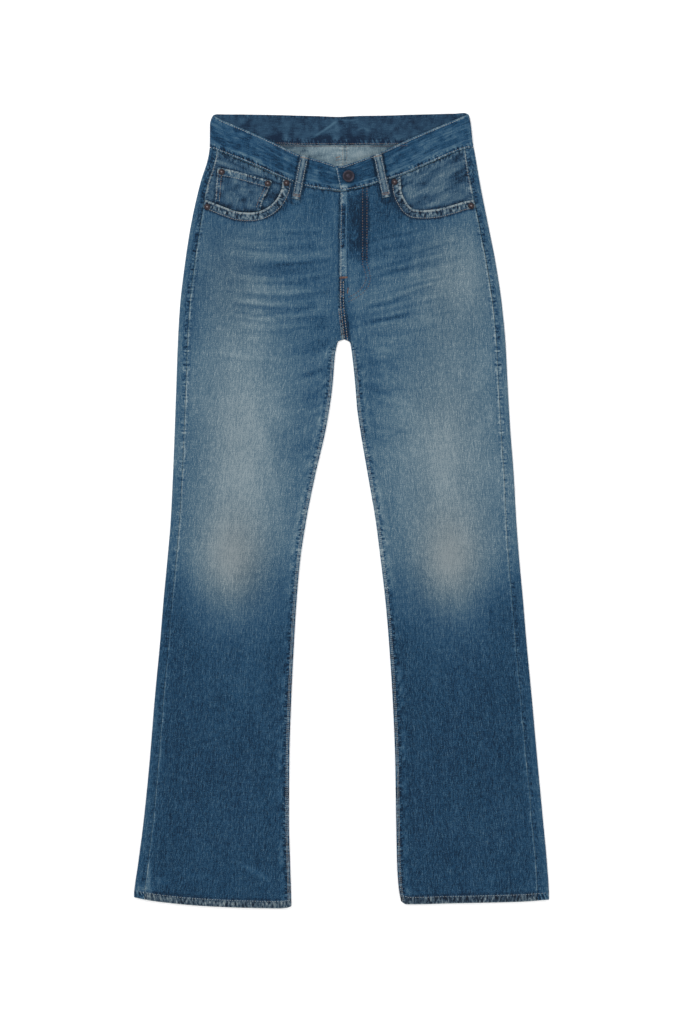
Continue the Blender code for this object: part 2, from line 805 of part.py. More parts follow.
def waistband():
    """One doubled strip, from the left end over the front, round the back, to the hidden right end."""
    radius = BAND_FOLD_RADIUS
    front_cells, fold_cells, back_cells, down = 22, 6, 18, 3
    stations = [("front", LEFT, n / front_cells) for n in range(front_cells)]
    stations += [("fold", LEFT, n / fold_cells) for n in range(fold_cells)]
    stations += [("back", LEFT, n / back_cells) for n in range(back_cells)]
    stations += [("fold", RIGHT, n / fold_cells) for n in range(fold_cells)]
    stations += [("front", RIGHT, n / front_cells) for n in range(front_cells + 1)]

    def fold_x(side, drop):
        return OUTER_X[side](drop) - side * radius

    def front_x(side, share, level, drop):
        """share runs from the fold to the band's end, level from its top edge to its seam."""
        ends = BAND_END_LEFT if side == LEFT else BAND_END_RIGHT
        return lerp(fold_x(side, drop), lerp(*ends, level), share)

    def front_lines(side, x):
        inset = HIDDEN_END_INSET * smoothstep(-16.0, -8.0, x) if side == RIGHT else 0.0
        return FRONT_TOP_DROP(x) + inset, FRONT_SEAM_DROP(x) - inset

    def back_x(share, drop):
        return lerp(fold_x(LEFT, drop), fold_x(RIGHT, drop), share)

    def place(i, j):
        part, side, share = stations[i]
        level = j / down
        if part == "front":
            from_fold = 1.0 - share if side == LEFT else share
            ends = []
            for line in (0, 1):
                ends.append(meet(lambda x: front_lines(side, x)[line],
                                 lambda drop: front_x(side, from_fold, line, drop), 60.0))
            drop = lerp(*ends, level)
            x = front_x(side, from_fold, level, drop)
            return upper_pair(x, drop, band_front_height(x, drop, side == LEFT), BAND_WALL)
        if part == "back":
            top = meet(BACK_TOP_DROP, lambda drop: back_x(share, drop), 4.0)
            low = meet(BACK_SEAM_DROP, lambda drop: back_x(share, drop), 47.0)
            drop = lerp(top, low, level)
            return lower_pair(back_x(share, drop), drop, BAND_WALL)
        down_share = share if side == LEFT else 1.0 - share
        edge = side * 187.0
        top = lerp(FRONT_TOP_DROP(edge), BACK_TOP_DROP(edge), down_share)
        drop = lerp(top, BACK_SEAM_DROP(edge), level)
        centre_x = fold_x(side, drop)
        centre = (centre_x, lift(centre_x, drop) + radius)
        return arc_pair(centre, drop, side, 90 - 180 * down_share, radius, BAND_WALL)

    return cloth("waistband", len(stations) - 1, down, place, (48, 76, 98))


def back_pocket(side):
    """A plain patch pocket with a blunt point, hidden under the back panel."""
    cells = 8

    def place(i, j):
        level = j / cells
        across = 2.0 * i / cells - 1.0
        half = lerp(BACK_POCKET_TOP_HALF_WIDTH, BACK_POCKET_BOTTOM_HALF_WIDTH, level)
        depth = lerp(BACK_POCKET_POINT_DEPTH, BACK_POCKET_SIDE_DEPTH, abs(across))
        x = CENTRE_BACK_X + side * BACK_POCKET_CENTRE + across * half
        drop = BACK_POCKET_TOP_DROP + depth * level
        return point(x, drop, 0.0), point(x, drop, BACK_POCKET_WALL)

    return cloth(f"back_pocket_{SIDE_NAMES[side]}", cells, cells, place, (52, 82, 104))


def back_loop(name, offset):
    """A flat belt loop under the back of the waistband."""

    def place(i, j):
        x = CENTRE_BACK_X + offset + (i - 1) * BACK_LOOP_HALF_WIDTH
        drop = lerp(BACK_LOOP_TOP_DROP, BACK_LOOP_BOTTOM_DROP, j / 4)
        return point(x, drop, 0.0), point(x, drop, BACK_LOOP_WALL)

    return cloth(f"belt_loop_{name}", 2, 4, place, (60, 88, 108))


def highest(x, drop, reach):
    """The highest cloth of the upper layer round a place, whichever piece it belongs to."""
    best = 0.0
    for step_x in (-1, 0, 1):
        for step_drop in (-1, 0, 1):
            place = (x + step_x * reach, drop + step_drop * reach)
            side = side_of(place[0])
            best = max(best, front_height(side, *place))
            if place[1] < FRONT_SEAM_DROP(place[0]) + 1.0:
                best = max(best, band_front_height(*place, side == LEFT))
    return best


def front_loop(name, top_x, top_drop, low_x, low_drop):
    """A belt loop over the waistband, arched a little clear of it between its two ends."""
    across, down = 3, 10
    length = math.dist((top_x, top_drop), (low_x, low_drop))
    along = ((low_x - top_x) / length, (low_drop - top_drop) / length)

    def place(i, j):
        share = j / down
        middle = (lerp(top_x, low_x, share), lerp(top_drop, low_drop, share))
        offset = (i / across - 0.5) * FRONT_LOOP_WIDTH
        x, drop = middle[0] + along[1] * offset, middle[1] - along[0] * offset
        under = highest(*middle, 7.0) + SEAM_GAP + FRONT_LOOP_ARCH * math.sin(math.pi * share)
        return point(x, drop, under + FRONT_LOOP_WALL), point(x, drop, under)

    return cloth(f"belt_loop_{name}", across, down, place, (78, 98, 114))


def turned(name, profile, segments, x, drop, z, colour, roughness):
    """A round metal piece: a profile of radius and height, spun about its upright axis."""
    mesh = bmesh.new()
    corners = [mesh.verts.new((radius, 0.0, height)) for radius, height in profile]
    edges = [mesh.edges.new(pair) for pair in zip(corners, corners[1:])]
    bmesh.ops.spin(mesh, geom=corners + edges, axis=(0, 0, 1), cent=(0, 0, 0), angle=math.tau,
                   steps=segments, use_merge=True)
    bmesh.ops.remove_doubles(mesh, verts=list(mesh.verts), dist=0.01)
    bmesh.ops.translate(mesh, vec=point(x, drop, z), verts=list(mesh.verts))
    return finish(name, mesh, colour, roughness, 0.9)


def rivet(name, x, drop):
    """A capped rivet with a raised nub. Those of the coin pocket stand on that pocket's cloth."""
    base = highest(x, drop, RIVET_RADIUS) + SEAM_GAP
    if name.startswith("coin"):
        places = [(x + dx, drop + dy) for dx in (-4.5, 0, 4.5) for dy in (-4.5, 0, 4.5)]
        cloth_top = max(facing_height(*place) for place in places)
        base = cloth_top + 2 * SEAM_GAP + PANEL_WALL
    r = RIVET_RADIUS
    profile = ((0, 0), (r * 0.97, 0), (r, 0.4), (r * 0.8, 0.95), (r * 0.5, 0.8), (r * 0.36, 1.6), (0, 1.9))
    return turned(f"rivet_{name}", profile, 12, x, drop, base, (92, 66, 58), 0.45)


def waist_button():
    """The tack button: a short shank, a dished face with a rolled rim, and a centre boss."""
    x, drop = BUTTON_PLACE
    places = [(x + dx, drop + dy) for dx in (-8, 0, 8) for dy in (-8, 0, 8)]
    base = max(band_front_height(*place, True) for place in places) + SEAM_GAP
    r = BUTTON_RADIUS
    profile = (
        (0, 0), (r * 0.62, 0), (r * 0.62, 1.0), (r * 0.9, 1.2), (r, 1.7), (r * 0.98, 2.4), (r * 0.9, 2.8),
        (r * 0.78, 2.7), (r * 0.7, 2.2), (r * 0.36, 2.2), (r * 0.28, 2.6), (0, 2.8),
    )
    return turned("waist_button", profile, 24, x, drop, base, (84, 64, 58), 0.4)


def main():
    for old in list(bpy.data.objects):
        bpy.data.objects.remove(old, do_unlink=True)
    for side in (RIGHT, LEFT):
        front_panel(side)
        back_panel(side)
        yoke(side)
        pocket_facing(side)
        back_pocket(side)
    waistband()
    coin_pocket()
    for name, offset in BACK_LOOPS:
        back_loop(name, offset)
    for row in FRONT_LOOPS:
        front_loop(*row)
    waist_button()
    for row in RIVETS:
        rivet(*row)


main()
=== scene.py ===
"""Five-pocket button-fly jeans, laid flat on their back: the cloth, seams, stitches and metal.

Lengths in the tables are millimetres, as in the CAD source. X runs across the garment and Z up. A drop
is a distance down the garment from the waistband's highest point. Right and left are the wearer's.
"""

import json
import math

import bmesh
import bpy
import numpy as np
from bpy.props import FloatProperty, FloatVectorProperty, IntProperty, PointerProperty
from mathutils import Matrix, Vector
from mathutils.bvhtree import BVHTree

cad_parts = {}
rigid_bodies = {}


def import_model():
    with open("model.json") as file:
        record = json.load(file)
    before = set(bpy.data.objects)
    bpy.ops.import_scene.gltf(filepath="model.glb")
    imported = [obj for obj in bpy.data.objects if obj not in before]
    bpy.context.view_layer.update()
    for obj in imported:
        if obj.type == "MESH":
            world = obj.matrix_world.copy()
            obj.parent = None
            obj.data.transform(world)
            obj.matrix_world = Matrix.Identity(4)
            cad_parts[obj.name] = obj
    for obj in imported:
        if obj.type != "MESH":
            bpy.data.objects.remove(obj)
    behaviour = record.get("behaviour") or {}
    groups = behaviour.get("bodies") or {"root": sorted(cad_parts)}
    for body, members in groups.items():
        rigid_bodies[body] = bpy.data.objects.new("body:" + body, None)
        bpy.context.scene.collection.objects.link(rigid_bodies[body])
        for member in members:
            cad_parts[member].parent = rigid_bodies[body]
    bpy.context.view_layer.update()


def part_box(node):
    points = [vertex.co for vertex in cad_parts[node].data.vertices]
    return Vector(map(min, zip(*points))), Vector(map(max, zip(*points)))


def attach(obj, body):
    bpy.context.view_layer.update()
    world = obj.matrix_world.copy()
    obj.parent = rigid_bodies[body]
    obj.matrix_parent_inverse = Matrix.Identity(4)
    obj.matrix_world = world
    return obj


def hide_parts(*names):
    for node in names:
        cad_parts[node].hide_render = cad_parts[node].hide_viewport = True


bl_info = {
    "name": "Laid flat jeans",
    "version": (1, 0, 0),
    "blender": (4, 5, 0),
    "location": "3D View > Sidebar > Jeans",
    "description": "Dresses the frame of a pair of jeans with cloth, seams, stitches and metal",
    "category": "Mesh",
}

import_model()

MM = 0.001
RIGHT, LEFT = -1, 1
SIDE_NAMES = {RIGHT: "right", LEFT: "left"}

# Light that the cloth gets, which its colours are divided by, and how much of the yarns' dark side shows

STUDIO_LIGHT = 1.45
DARK_SWING = 0.5

# Where the camera hangs over the garment's length, in metres

CAMERA_Y = -0.002175

# Where the unevenness along each seam starts, so that no two seams look alike. Then how far away a
# seam counts as where there is none, and where the seam belongs to another part of the sheet

OUTSEAM_START = 700.0
INNER_START = 2100.0
TOP_SEAM_START = 3500.0
YOKE_TOP_START = 3900.0
HEM_START = 4200.0
FLY_START = 5000.0
COIN_TOP_START = 6000.0
COIN_SIDE_START = 6500.0
BAND_TOP_START = 7000.0
BAND_LOW_START = 7600.0
BAND_END_START = 8000.0
PATCH_SIDE_START = 9000.0
PATCH_LOW_START = 9500.0
PATCH_TOP_START = 9900.0
NO_SEAM_NEAR = 30.0
ELSEWHERE = 99.0

# Whole garment

LENGTH = 1152.8
CENTRE_BACK_X = 3.6
CROTCH_DROP = 331

# Cloth

PANEL_WALL = 1.2
BAND_WALL = 2.4
HEM_WALL = 2
HEM_DEPTH = 11.6
SEAM_GAP = 0.3
REST_GAP = 0.5
OVERLAY_GAP = 0.6
PANEL_FOLD_RADIUS = 2.6
BAND_FOLD_RADIUS = 3.2
OUTER_FOLD_RAMP = 40
INNER_FOLD_RAMP = 30
LAYER_MARGIN = 16
LAYER_RAMP = 32
SHELL_WALL = 0.9
BAND_SHELL_WALL = 2
HEM_SHELL_WALL = 1.7
SOLE_GAP = 0.3
BAND_HEIGHT = 44
BAND_FRONT_RUN = 190

# Outer folds of the garment: drop, right x, left x

OUTER_FOLDS = (
    (0, -181.5, 181.5), (3, -185.2, 184.2), (8, -188.2, 185.8), (17, -190.6, 187.4), (46, -190.8, 190.6),
    (61, -192.4, 193.6), (104, -205, 200.8), (162, -218, 212.4), (220, -227, 223.8), (278, -233.8, 232.4),
    (336, -237.2, 237.8), (395, -239.3, 240.8), (460, -241.6, 244.6), (525, -244.2, 249.6),
    (590, -247.4, 253.2), (648, -252.3, 257.6), (706, -257.8, 263), (764, -262.6, 267.8),
    (851, -270.8, 276), (938, -277.9, 283.8), (1025, -286.6, 292), (1090, -295, 298),
    (1131, -300.6, 300.6), (1150, -301.6, 300.9),
)

# Inner folds of the legs, from the crotch down: drop, right x, left x

INNER_FOLDS = (
    (331.2, -5.1, 12.2), (337, -6.6, 13.4), (351, -9.4, 15.4), (395, -13, 20), (428, -17.4, 22.6),
    (460, -23, 27.2), (525, -38, 38.2), (590, -51, 49.4), (648, -59.8, 56.8), (706, -65, 63.6),
    (764, -68.6, 68.6), (851, -72.9, 74.2), (938, -75.6, 77.8), (1025, -76.1, 79.2), (1090, -74.4, 80.6),
    (1120, -73.4, 82.6), (1150, -72.6, 87.6),
)

# Width of the strip that the back panel shows in front of the fold: drop, right, left

WRAPS = (
    (50, 11, 13.4), (104, 11, 13.4), (165, 14, 13), (400, 14, 13.2), (718, 12.4, 15.6), (1068, 14, 16),
    (1150, 16, 17),
)

# Grain line down the middle of each leg: drop, right x, left x

GRAIN_LINES = ((0, -118, 120), (330, -128, 130), (650, -157, 157), (1150, -188, 193))

# Fly edge of the left front, the crotch seam, and the right front's edge under the fly: drop, x

FLY_EDGE = ((112, -1.2), (148, -2.2), (184, -2.9), (271, -2.9), (307, 0.4), (328.4, 3.2))
FLY_UNDERLAP = ((110, 9.4), (250, 9.4), (258, 6.5), (266, -1), (271, -3.2), (307, 0.1))
FLY_END_DROP = 262
FLY_FADE_DROP = 300
CROTCH_SEAM_DROP = 328.4

# Waistband edges and seams over the width: x, drop

FRONT_TOP = (
    (-186, 4.2), (-176, 9.8), (-162, 15.8), (-133, 28), (-104, 41), (-75, 55.2), (-62, 60.8), (-45, 65.4),
    (-24, 71.4), (-9, 76.6), (-2, 78), (12, 74.6), (27, 69.2), (43, 63.6), (60, 56.2), (85, 44.6),
    (114, 31.8), (143, 19.6), (160, 12.4), (184, 2.6),
)
FRONT_SEAM = (
    (-191, 50.6), (-180, 55.2), (-154, 65.4), (-125, 77.2), (-104, 86.4), (-83, 95.8), (-66, 102.6),
    (-53, 106.8), (-38, 109.6), (-17, 112.4), (-4, 114.2), (12, 112.6), (27, 109.4), (41, 105.6),
    (56, 100.6), (85, 91.4), (99, 85.8), (128, 73.4), (157, 60.6), (176, 53.4), (191, 50.2),
)
BACK_TOP = (
    (-183.5, 2), (-133, 2.8), (-46, 4.4), (-2, 6.2), (12, 5.2), (85, 3.4), (165, 1.2), (178, 0.1),
    (184, 0.3),
)
BACK_SEAM = ((-191, 50.6), (-150, 48), (-89, 46), (-17, 47), (85, 46.4), (191, 50.2))
YOKE_SEAM = ((-205, 82), (-120, 94), (3.6, 112), (128, 94), (205, 82))

# Ends of the waistband at the centre front: x of the top corner and of the bottom corner

BAND_END_LEFT = (-8.8, -1.3)
BAND_END_RIGHT = (12, 15)
HIDDEN_END_INSET = 1

# Hip pocket openings, from the outseam to the waistband seam: x, drop

POCKET_OPENINGS = {
    RIGHT: (
        (-198.6, 126.2), (-184, 131.6), (-166, 138.6), (-148, 144.2), (-133, 145.2), (-120, 143.4),
        (-108, 138.4), (-98, 130.4), (-91, 120.6), (-87, 110.6), (-84.6, 95.6),
    ),
    LEFT: (
        (193, 126.8), (179, 129), (158, 135.2), (136, 140.4), (120, 141.6), (106, 140.8), (98.6, 136.6),
        (92.8, 128.2), (88.2, 119), (86, 109), (85.2, 91.6),
    ),
}
FACING_BORDER = 9
FACING_END_SHARE = 0.93

# Coin pocket: its top edge and its two sides as x, drop

COIN_TOP = ((-179.2, 79.6), (-154, 84.8), (-128, 92), (-100.4, 99.6))
COIN_OUTER = ((79.6, -179.2), (106, -181.8), (133, -183.6))
COIN_INNER = ((99.6, -100.4), (110, -104.6), (119, -109.4), (128, -113.8), (140, -117.2))
COIN_CLEARANCE = 1.2

# Hem edges of the two legs: x, drop

HEMS = {
    RIGHT: (
        (-301, 1136.4), (-285, 1140), (-269, 1142.6), (-228, 1147.2), (-181, 1150.4), (-130, 1152.2),
        (-90, 1152.8), (-78, 1151.6), (-72.6, 1149.4),
    ),
    LEFT: (
        (84, 1140), (88, 1143.6), (94, 1146.8), (110, 1146.8), (149, 1145.8), (196, 1144.8),
        (259, 1143.2), (301, 1140),
    ),
}
BACK_HEM_INSET = 1

# Pieces between the back and the surface that it lies on

BACK_POCKET_WALL = 1.2
BACK_POCKET_CENTRE = 92
BACK_POCKET_TOP_DROP = 128
BACK_POCKET_TOP_HALF_WIDTH = 76
BACK_POCKET_BOTTOM_HALF_WIDTH = 68
BACK_POCKET_SIDE_DEPTH = 140
BACK_POCKET_POINT_DEPTH = 162
BACK_LOOP_WALL = 1.5
BACK_LOOP_HALF_WIDTH = 6
BACK_LOOP_TOP_DROP = 7.5
BACK_LOOP_BOTTOM_DROP = 58
BACK_LOOPS = (("side_right", -118), ("center_back", 0), ("side_left", 118))

# Front belt loops: name, top x and drop, bottom x and drop

FRONT_LOOPS = (
    ("front_right", -53.6, 62.8, -66, 125.6),
    ("front_left", 51.6, 60.8, 65.2, 123),
)
FRONT_LOOP_WIDTH = 12.4
FRONT_LOOP_WALL = 1.6
FRONT_LOOP_ARCH = 1.2

# Metal: x, drop

BUTTON_PLACE = (10.2, 92.8)
BUTTON_RADIUS = 8.6
RIVET_RADIUS = 4.5
RIVETS = (
    ("pocket_outer_right", -194.3, 137),
    ("pocket_inner_right", -79.8, 102.2),
    ("coin_outer", -173.6, 86.2),
    ("coin_inner", -106.6, 103),
    ("pocket_inner_left", 76.8, 100.8),
    ("pocket_outer_left", 187.8, 135.6),
)

# Profiles of the metal, from the middle of its base to the middle of its top: share of the radius, height

BUTTON_PROFILE = (
    (0, 0), (0.62, 0), (0.62, 0.9), (0.80, 1.05), (0.92, 1.25), (0.99, 1.6), (1, 2),
    (0.985, 2.4), (0.94, 2.68), (0.88, 2.78), (0.80, 2.74), (0.74, 2.52), (0.70, 2.28), (0.60, 2.16),
    (0.44, 2.14), (0.36, 2.22), (0.31, 2.45), (0.26, 2.64), (0.14, 2.74), (0, 2.76),
)
RIVET_PROFILE = (
    (0, 0), (0.9, 0), (0.98, 0.12), (1, 0.35), (0.96, 0.6), (0.86, 0.85), (0.74, 0.95),
    (0.60, 0.84), (0.50, 0.78), (0.42, 0.95), (0.37, 1.45), (0.26, 1.75), (0.12, 1.88), (0, 1.9),
)

# Largest soft folds of the fronts: from x, drop to x, drop, half width, height

FRONT_FOLDS = (
    (-165, 190, -20, 196, 9, 0.7), (-150, 222, -28, 214, 10, 0.6), (-110, 248, -22, 250, 9, 0.9),
    (-150, 284, -40, 296, 11, 0.8), (-120, 350, -30, 338, 12, 0.6), (40, 196, 150, 184, 9, 0.7),
    (36, 226, 160, 212, 10, 0.7), (30, 262, 150, 244, 10, 0.8), (40, 306, 160, 280, 11, 0.8),
    (36, 352, 130, 340, 12, 0.6), (-214, 620, -120, 652, 16, 0.6), (110, 652, 206, 616, 16, 0.6),
    (-200, 760, -110, 742, 18, 0.5), (120, 740, 220, 768, 18, 0.5), (-142, 1088, -118, 1104, 9, 0.8),
    (150, 1090, 182, 1078, 9, 0.7),
)

# Finer creases: a line of x, drop, then half width, height, and how much paler the crest is

FRONT_CREASES = (
    (((-130, 170), (-75, 170), (-21, 168)), 2.2, 0.35, 0.12),
    (((-130, 175), (-75, 175), (-21, 173)), 2.2, -0.35, -0.16),
    (((-168, 183), (-115, 189), (-60, 188), (-20, 182)), 2.6, 0.45, 0.19),
    (((-150, 190), (-89, 195), (-60, 194), (-24, 189)), 2.4, -0.40, -0.20),
    (((-124, 203), (-70, 207), (-16, 200)), 2.4, 0.30, 0.11),
    (((-118, 223), (-72, 220), (-26, 212)), 2.6, -0.35, -0.17),
    (((-176, 236), (-110, 241), (-70, 239), (-18, 230)), 3.2, 0.40, 0.14),
    (((-182, 242), (-104, 249), (-70, 247), (-16, 238)), 2.6, -0.50, -0.16),
    (((-160, 258), (-90, 263), (-24, 254)), 3.4, 0.35, 0.12),
    (((-168, 270), (-89, 277), (-50, 274), (-24, 267)), 2.8, 0.30, 0.12),
    (((-166, 276), (-89, 283), (-50, 280), (-22, 272)), 2.8, -0.45, -0.20),
    (((-124, 294), (-70, 288), (-18, 277)), 2.6, -0.40, -0.18),
    (((-130, 299), (-60, 294), (-20, 284)), 2.6, 0.30, 0.12),
    (((-118, 306), (-60, 299), (-16, 289)), 2.4, -0.30, -0.15),
    (((-110, 318), (-56, 312), (-12, 300)), 2.4, -0.30, -0.15),
    (((-200, 345), (-137, 354), (-89, 358), (-41, 348)), 3.2, 0.35, 0.12),
    (((-190, 352), (-137, 361), (-89, 365)), 3, -0.20, -0.08),
    (((-15, 138), (-9, 145), (-3, 151)), 1.2, 0.35, 0.30),
    (((-15.5, 118), (-12, 122), (-8, 127)), 1.2, 0.35, 0.26),
    (((44, 190), (90, 182), (140, 169)), 3, 0.30, 0.10),
    (((46, 183), (96, 175), (134, 164)), 2.4, -0.30, -0.14),
    (((42, 206), (90, 199), (139, 186), (182, 181)), 2.8, 0.45, 0.18),
    (((46, 214), (100, 206), (150, 192), (190, 187)), 2.2, -0.40, -0.16),
    (((40, 231), (76, 229), (139, 219), (186, 208)), 2.6, -0.40, -0.20),
    (((42, 243), (107, 236), (154, 226)), 2.8, 0.40, 0.14),
    (((18, 286), (72, 274), (107, 259), (145, 249)), 3, -0.50, -0.26),
    (((18, 279), (76, 267), (112, 252), (160, 242)), 2.8, 0.40, 0.16),
    (((20, 303), (57, 300), (94, 292), (118, 285)), 2.4, -0.45, -0.26),
    (((18, 309), (61, 306), (107, 299), (144, 288)), 2.6, 0.35, 0.15),
    (((22, 324), (60, 320), (112, 310)), 3, -0.30, -0.14),
    (((24, 334), (70, 329), (122, 317)), 3.4, 0.25, 0.10),
    (((-72, 352), (-44, 346), (-14, 332)), 2.6, -0.25, -0.14),
    (((-64, 372), (-40, 366), (-14, 350)), 3, 0.25, 0.10),
    (((-66, 384), (-40, 378), (-14, 362)), 2.6, -0.25, -0.12),
    (((-62, 404), (-40, 398), (-16, 384)), 3, 0.25, 0.10),
    (((-70, 420), (-46, 412), (-20, 398)), 2.6, -0.25, -0.12),
    (((-96, 458), (-60, 446), (-32, 428)), 3, 0.25, 0.08),
    (((-98, 470), (-64, 458), (-36, 442)), 3, -0.25, -0.08),
    (((-110, 520), (-70, 506), (-46, 490)), 3.6, 0.25, 0.07),
    (((22, 350), (52, 348), (92, 336)), 2.6, 0.25, 0.10),
    (((22, 364), (56, 362), (96, 350)), 2.6, -0.25, -0.12),
    (((26, 384), (56, 386), (90, 378)), 3, 0.25, 0.09),
    (((28, 400), (60, 404), (94, 398)), 2.6, -0.25, -0.10),
    (((34, 436), (66, 446), (100, 448)), 3, 0.25, 0.08),
    (((38, 450), (70, 462), (104, 464)), 3, -0.25, -0.08),
    (((-210, 588), (-160, 598), (-110, 596)), 5, 0.25, 0.06),
    (((-214, 664), (-160, 672), (-104, 668)), 5, -0.25, -0.06),
    (((104, 604), (150, 600), (204, 586)), 5, 0.25, 0.06),
    (((104, 678), (160, 672), (214, 660)), 5, -0.25, -0.06),
    (((-152, 1085), (-131, 1096), (-112, 1108), (-98, 1118)), 4, 0.60, 0.20),
    (((-150, 1096), (-140, 1103), (-132, 1114)), 3, -0.40, -0.08),
    (((-232, 1100), (-196, 1112)), 4, 0.40, 0.08),
    (((148, 1100), (176, 1084)), 3, 0.45, 0.10),
    (((206, 1112), (244, 1100)), 4, 0.40, 0.08),
)
BAND_INSIDE_CREASES = (
    (((-2, 9), (-20, 22), (-32, 30), (-46, 38)), 1.5, 0.30, 0.95),
    (((-8, 7), (8, 12), (22, 10)), 1.3, 0.25, 0.60),
    (((-30, 34), (-12, 26), (2, 30)), 1.6, 0.15, 0.30),
    (((-12, 20), (-2, 22), (6, 21)), 3.4, 0.20, 0.55),
    (((-14, 33), (-5, 34), (4, 33)), 4.4, 0.20, 0.34),
    (((11, 8), (11, 24), (12, 40)), 4, -0.15, -0.26),
    (((20, 28), (30, 22), (44, 30)), 1.4, 0.15, 0.36),
)

# Pale and dark places of the front: x, drop, half width, half height, how much paler. The dark one at x 4,
# drop 310 is the crotch seam's darker strip, with painted shadow where the legs part

FRONT_FADES_AND_SHADE = (
    (-148, 485, 60, 225, 0.48), (-173, 664, 38, 56, 0.36), (152, 505, 84, 165, 0.41),
    (158, 668, 45, 62, 0.45), (208, 400, 28, 110, 0.03), (168, 235, 50, 75, 0.34),
    (-217, 290, 12, 60, -0.10), (-288, 1125, 14, 6, 0.32), (-279, 1106, 3, 18, 0.32),
    (-262, 1114, 12, 6, 0.16), (-24, 350, 24, 90, -0.16), (26, 400, 24, 90, -0.12),
    (25, 165, 22, 52, -0.16), (62, 160, 36, 62, -0.18), (4, 310, 12, 26, -0.22),
    (-34, 130, 30, 46, -0.08),
)
BACK_FADES = (
    (-100, 230, 70, 90, 0.34), (104, 230, 70, 90, 0.34), (-150, 480, 60, 170, 0.22),
    (156, 480, 60, 170, 0.22), (-158, 650, 50, 60, 0.12), (158, 650, 50, 60, 0.12),
)
BACK_CREASES = (
    (((-210, 560), (-150, 584), (-90, 590)), 5, 0.20, 0.12),
    (((-214, 610), (-150, 604), (-96, 596)), 5, -0.15, -0.12),
    (((-210, 640), (-150, 650), (-100, 664)), 5, 0.20, 0.12),
    (((90, 590), (150, 584), (212, 560)), 5, 0.20, 0.12),
    (((96, 598), (150, 604), (214, 612)), 5, -0.15, -0.12),
    (((100, 664), (150, 650), (212, 640)), 5, 0.20, 0.12),
    (((-60, 330), (-14, 316)), 5, 0.15, 0.12),
    (((14, 316), (66, 330)), 5, 0.15, 0.12),
    (((-120, 352), (-20, 340)), 5, -0.15, -0.12),
    (((22, 340), (124, 352)), 5, -0.15, -0.12),
)

# Pale shade of the untouched cloth down the garment: drop, shade

BASE_FADE = (
    (0, 0.26), (110, 0.28), (184, 0.34), (271, 0.38), (358, 0.42), (532, 0.41), (619, 0.42), (706, 0.19),
    (750, 0.15), (793, 0.13), (880, 0.12), (1130, 0.13),
)

def lerp(a, b, t):
    return a + (b - a) * t


def smoothstep(start, end, value):
    """0 up to start, 1 from end on, and a soft ramp between."""
    t = np.clip((value - start) / (end - start), 0, 1)
    return t * t * (3 - 2 * t)


def falling(start, end, value):
    """1 up to start, 0 from end on, and a soft ramp between."""
    return 1 - smoothstep(start, end, value)


def between(start, full, leaving, end, value):
    """1 from full to leaving, 0 outside start and end, and soft ramps between."""
    return smoothstep(start, full, value) * falling(leaving, end, value)


def bell(value, width):
    """1 where value is 0, falling softly to either side."""
    return np.exp(-((value / width) ** 2))


def blank(x, drop):
    """A zero for each place."""
    return np.zeros(np.broadcast(x, drop).shape)


def to_edge(share, total):
    """How far a share of a total is from the nearer end."""
    return np.minimum(share, 1 - share) * total


def lattice(column, row, seed):
    """A repeatable value from 0 to 1 for each crossing of an endless net."""
    wave = np.sin(column * 12.9898 + row * 78.233 + seed * 37.719) * 4375.85453
    return wave - np.floor(wave)


def ripple(x, y, seed):
    """Soft unevenness from -1 to 1 whose bumps are about one unit wide."""
    column, row = np.floor(x), np.floor(y)
    across = smoothstep(0, 1, x - column)
    down = smoothstep(0, 1, y - row)
    here = lerp(lattice(column, row, seed), lattice(column + 1, row, seed), across)
    below = lerp(lattice(column, row + 1, seed), lattice(column + 1, row + 1, seed), across)
    return lerp(here, below, down) * 2 - 1


def smooth_line(rows, column=1):
    """A smooth function through a table's first column and one other, held at its ends."""
    keys = np.array([row[0] for row in rows], dtype=float)
    values = np.array([row[column] for row in rows], dtype=float)
    steps = np.diff(values) / np.diff(keys)
    slopes = [steps[0]]
    for before, after in zip(steps, steps[1:]):
        slopes.append(0 if before * after <= 0 else 2 * before * after / (before + after))
    slopes = np.array(slopes + [steps[-1]])

    def at(key):
        key = np.clip(key, keys[0], keys[-1])
        i = np.clip(np.searchsorted(keys, key, side="right") - 1, 0, len(keys) - 2)
        width = keys[i + 1] - keys[i]
        t = (key - keys[i]) / width
        rest = 1 - t
        before = (1 + 2 * t) * rest * rest * values[i] + t * rest * rest * width * slopes[i]
        after = t * t * (3 - 2 * t) * values[i + 1] - t * t * rest * width * slopes[i + 1]
        return before + after

    return at


def both_legs(rows):
    """Smooth functions of the drop for a table with a column for each leg."""
    return {RIGHT: smooth_line(rows, 1), LEFT: smooth_line(rows, 2)}


OUTER_X = both_legs(OUTER_FOLDS)
INNER_X = both_legs(INNER_FOLDS)
WRAP_WIDTH = both_legs(WRAPS)
GRAIN_X = both_legs(GRAIN_LINES)
FRONT_TOP_DROP = smooth_line(FRONT_TOP)
FRONT_SEAM_DROP = smooth_line(FRONT_SEAM)
BACK_TOP_DROP = smooth_line(BACK_TOP)
BACK_SEAM_DROP = smooth_line(BACK_SEAM)
YOKE_SEAM_DROP = smooth_line(YOKE_SEAM)
HEM_DROP = {side: smooth_line(HEMS[side]) for side in SIDE_NAMES}
FLY_EDGE_X = smooth_line(FLY_EDGE)
FLY_UNDERLAP_X = smooth_line(FLY_UNDERLAP)
BASE_FADE_AT = smooth_line(BASE_FADE)


def by_side(functions, x, drop):
    """The value of a right and left pair of functions of the drop, by which side a place is on."""
    return np.where(x < CENTRE_BACK_X, functions[RIGHT](drop), functions[LEFT](drop))


def outseam_x(side, drop):
    """The seam between the front and the back panel, on the upper layer."""
    return OUTER_X[side](drop) - side * WRAP_WIDTH[side](drop)


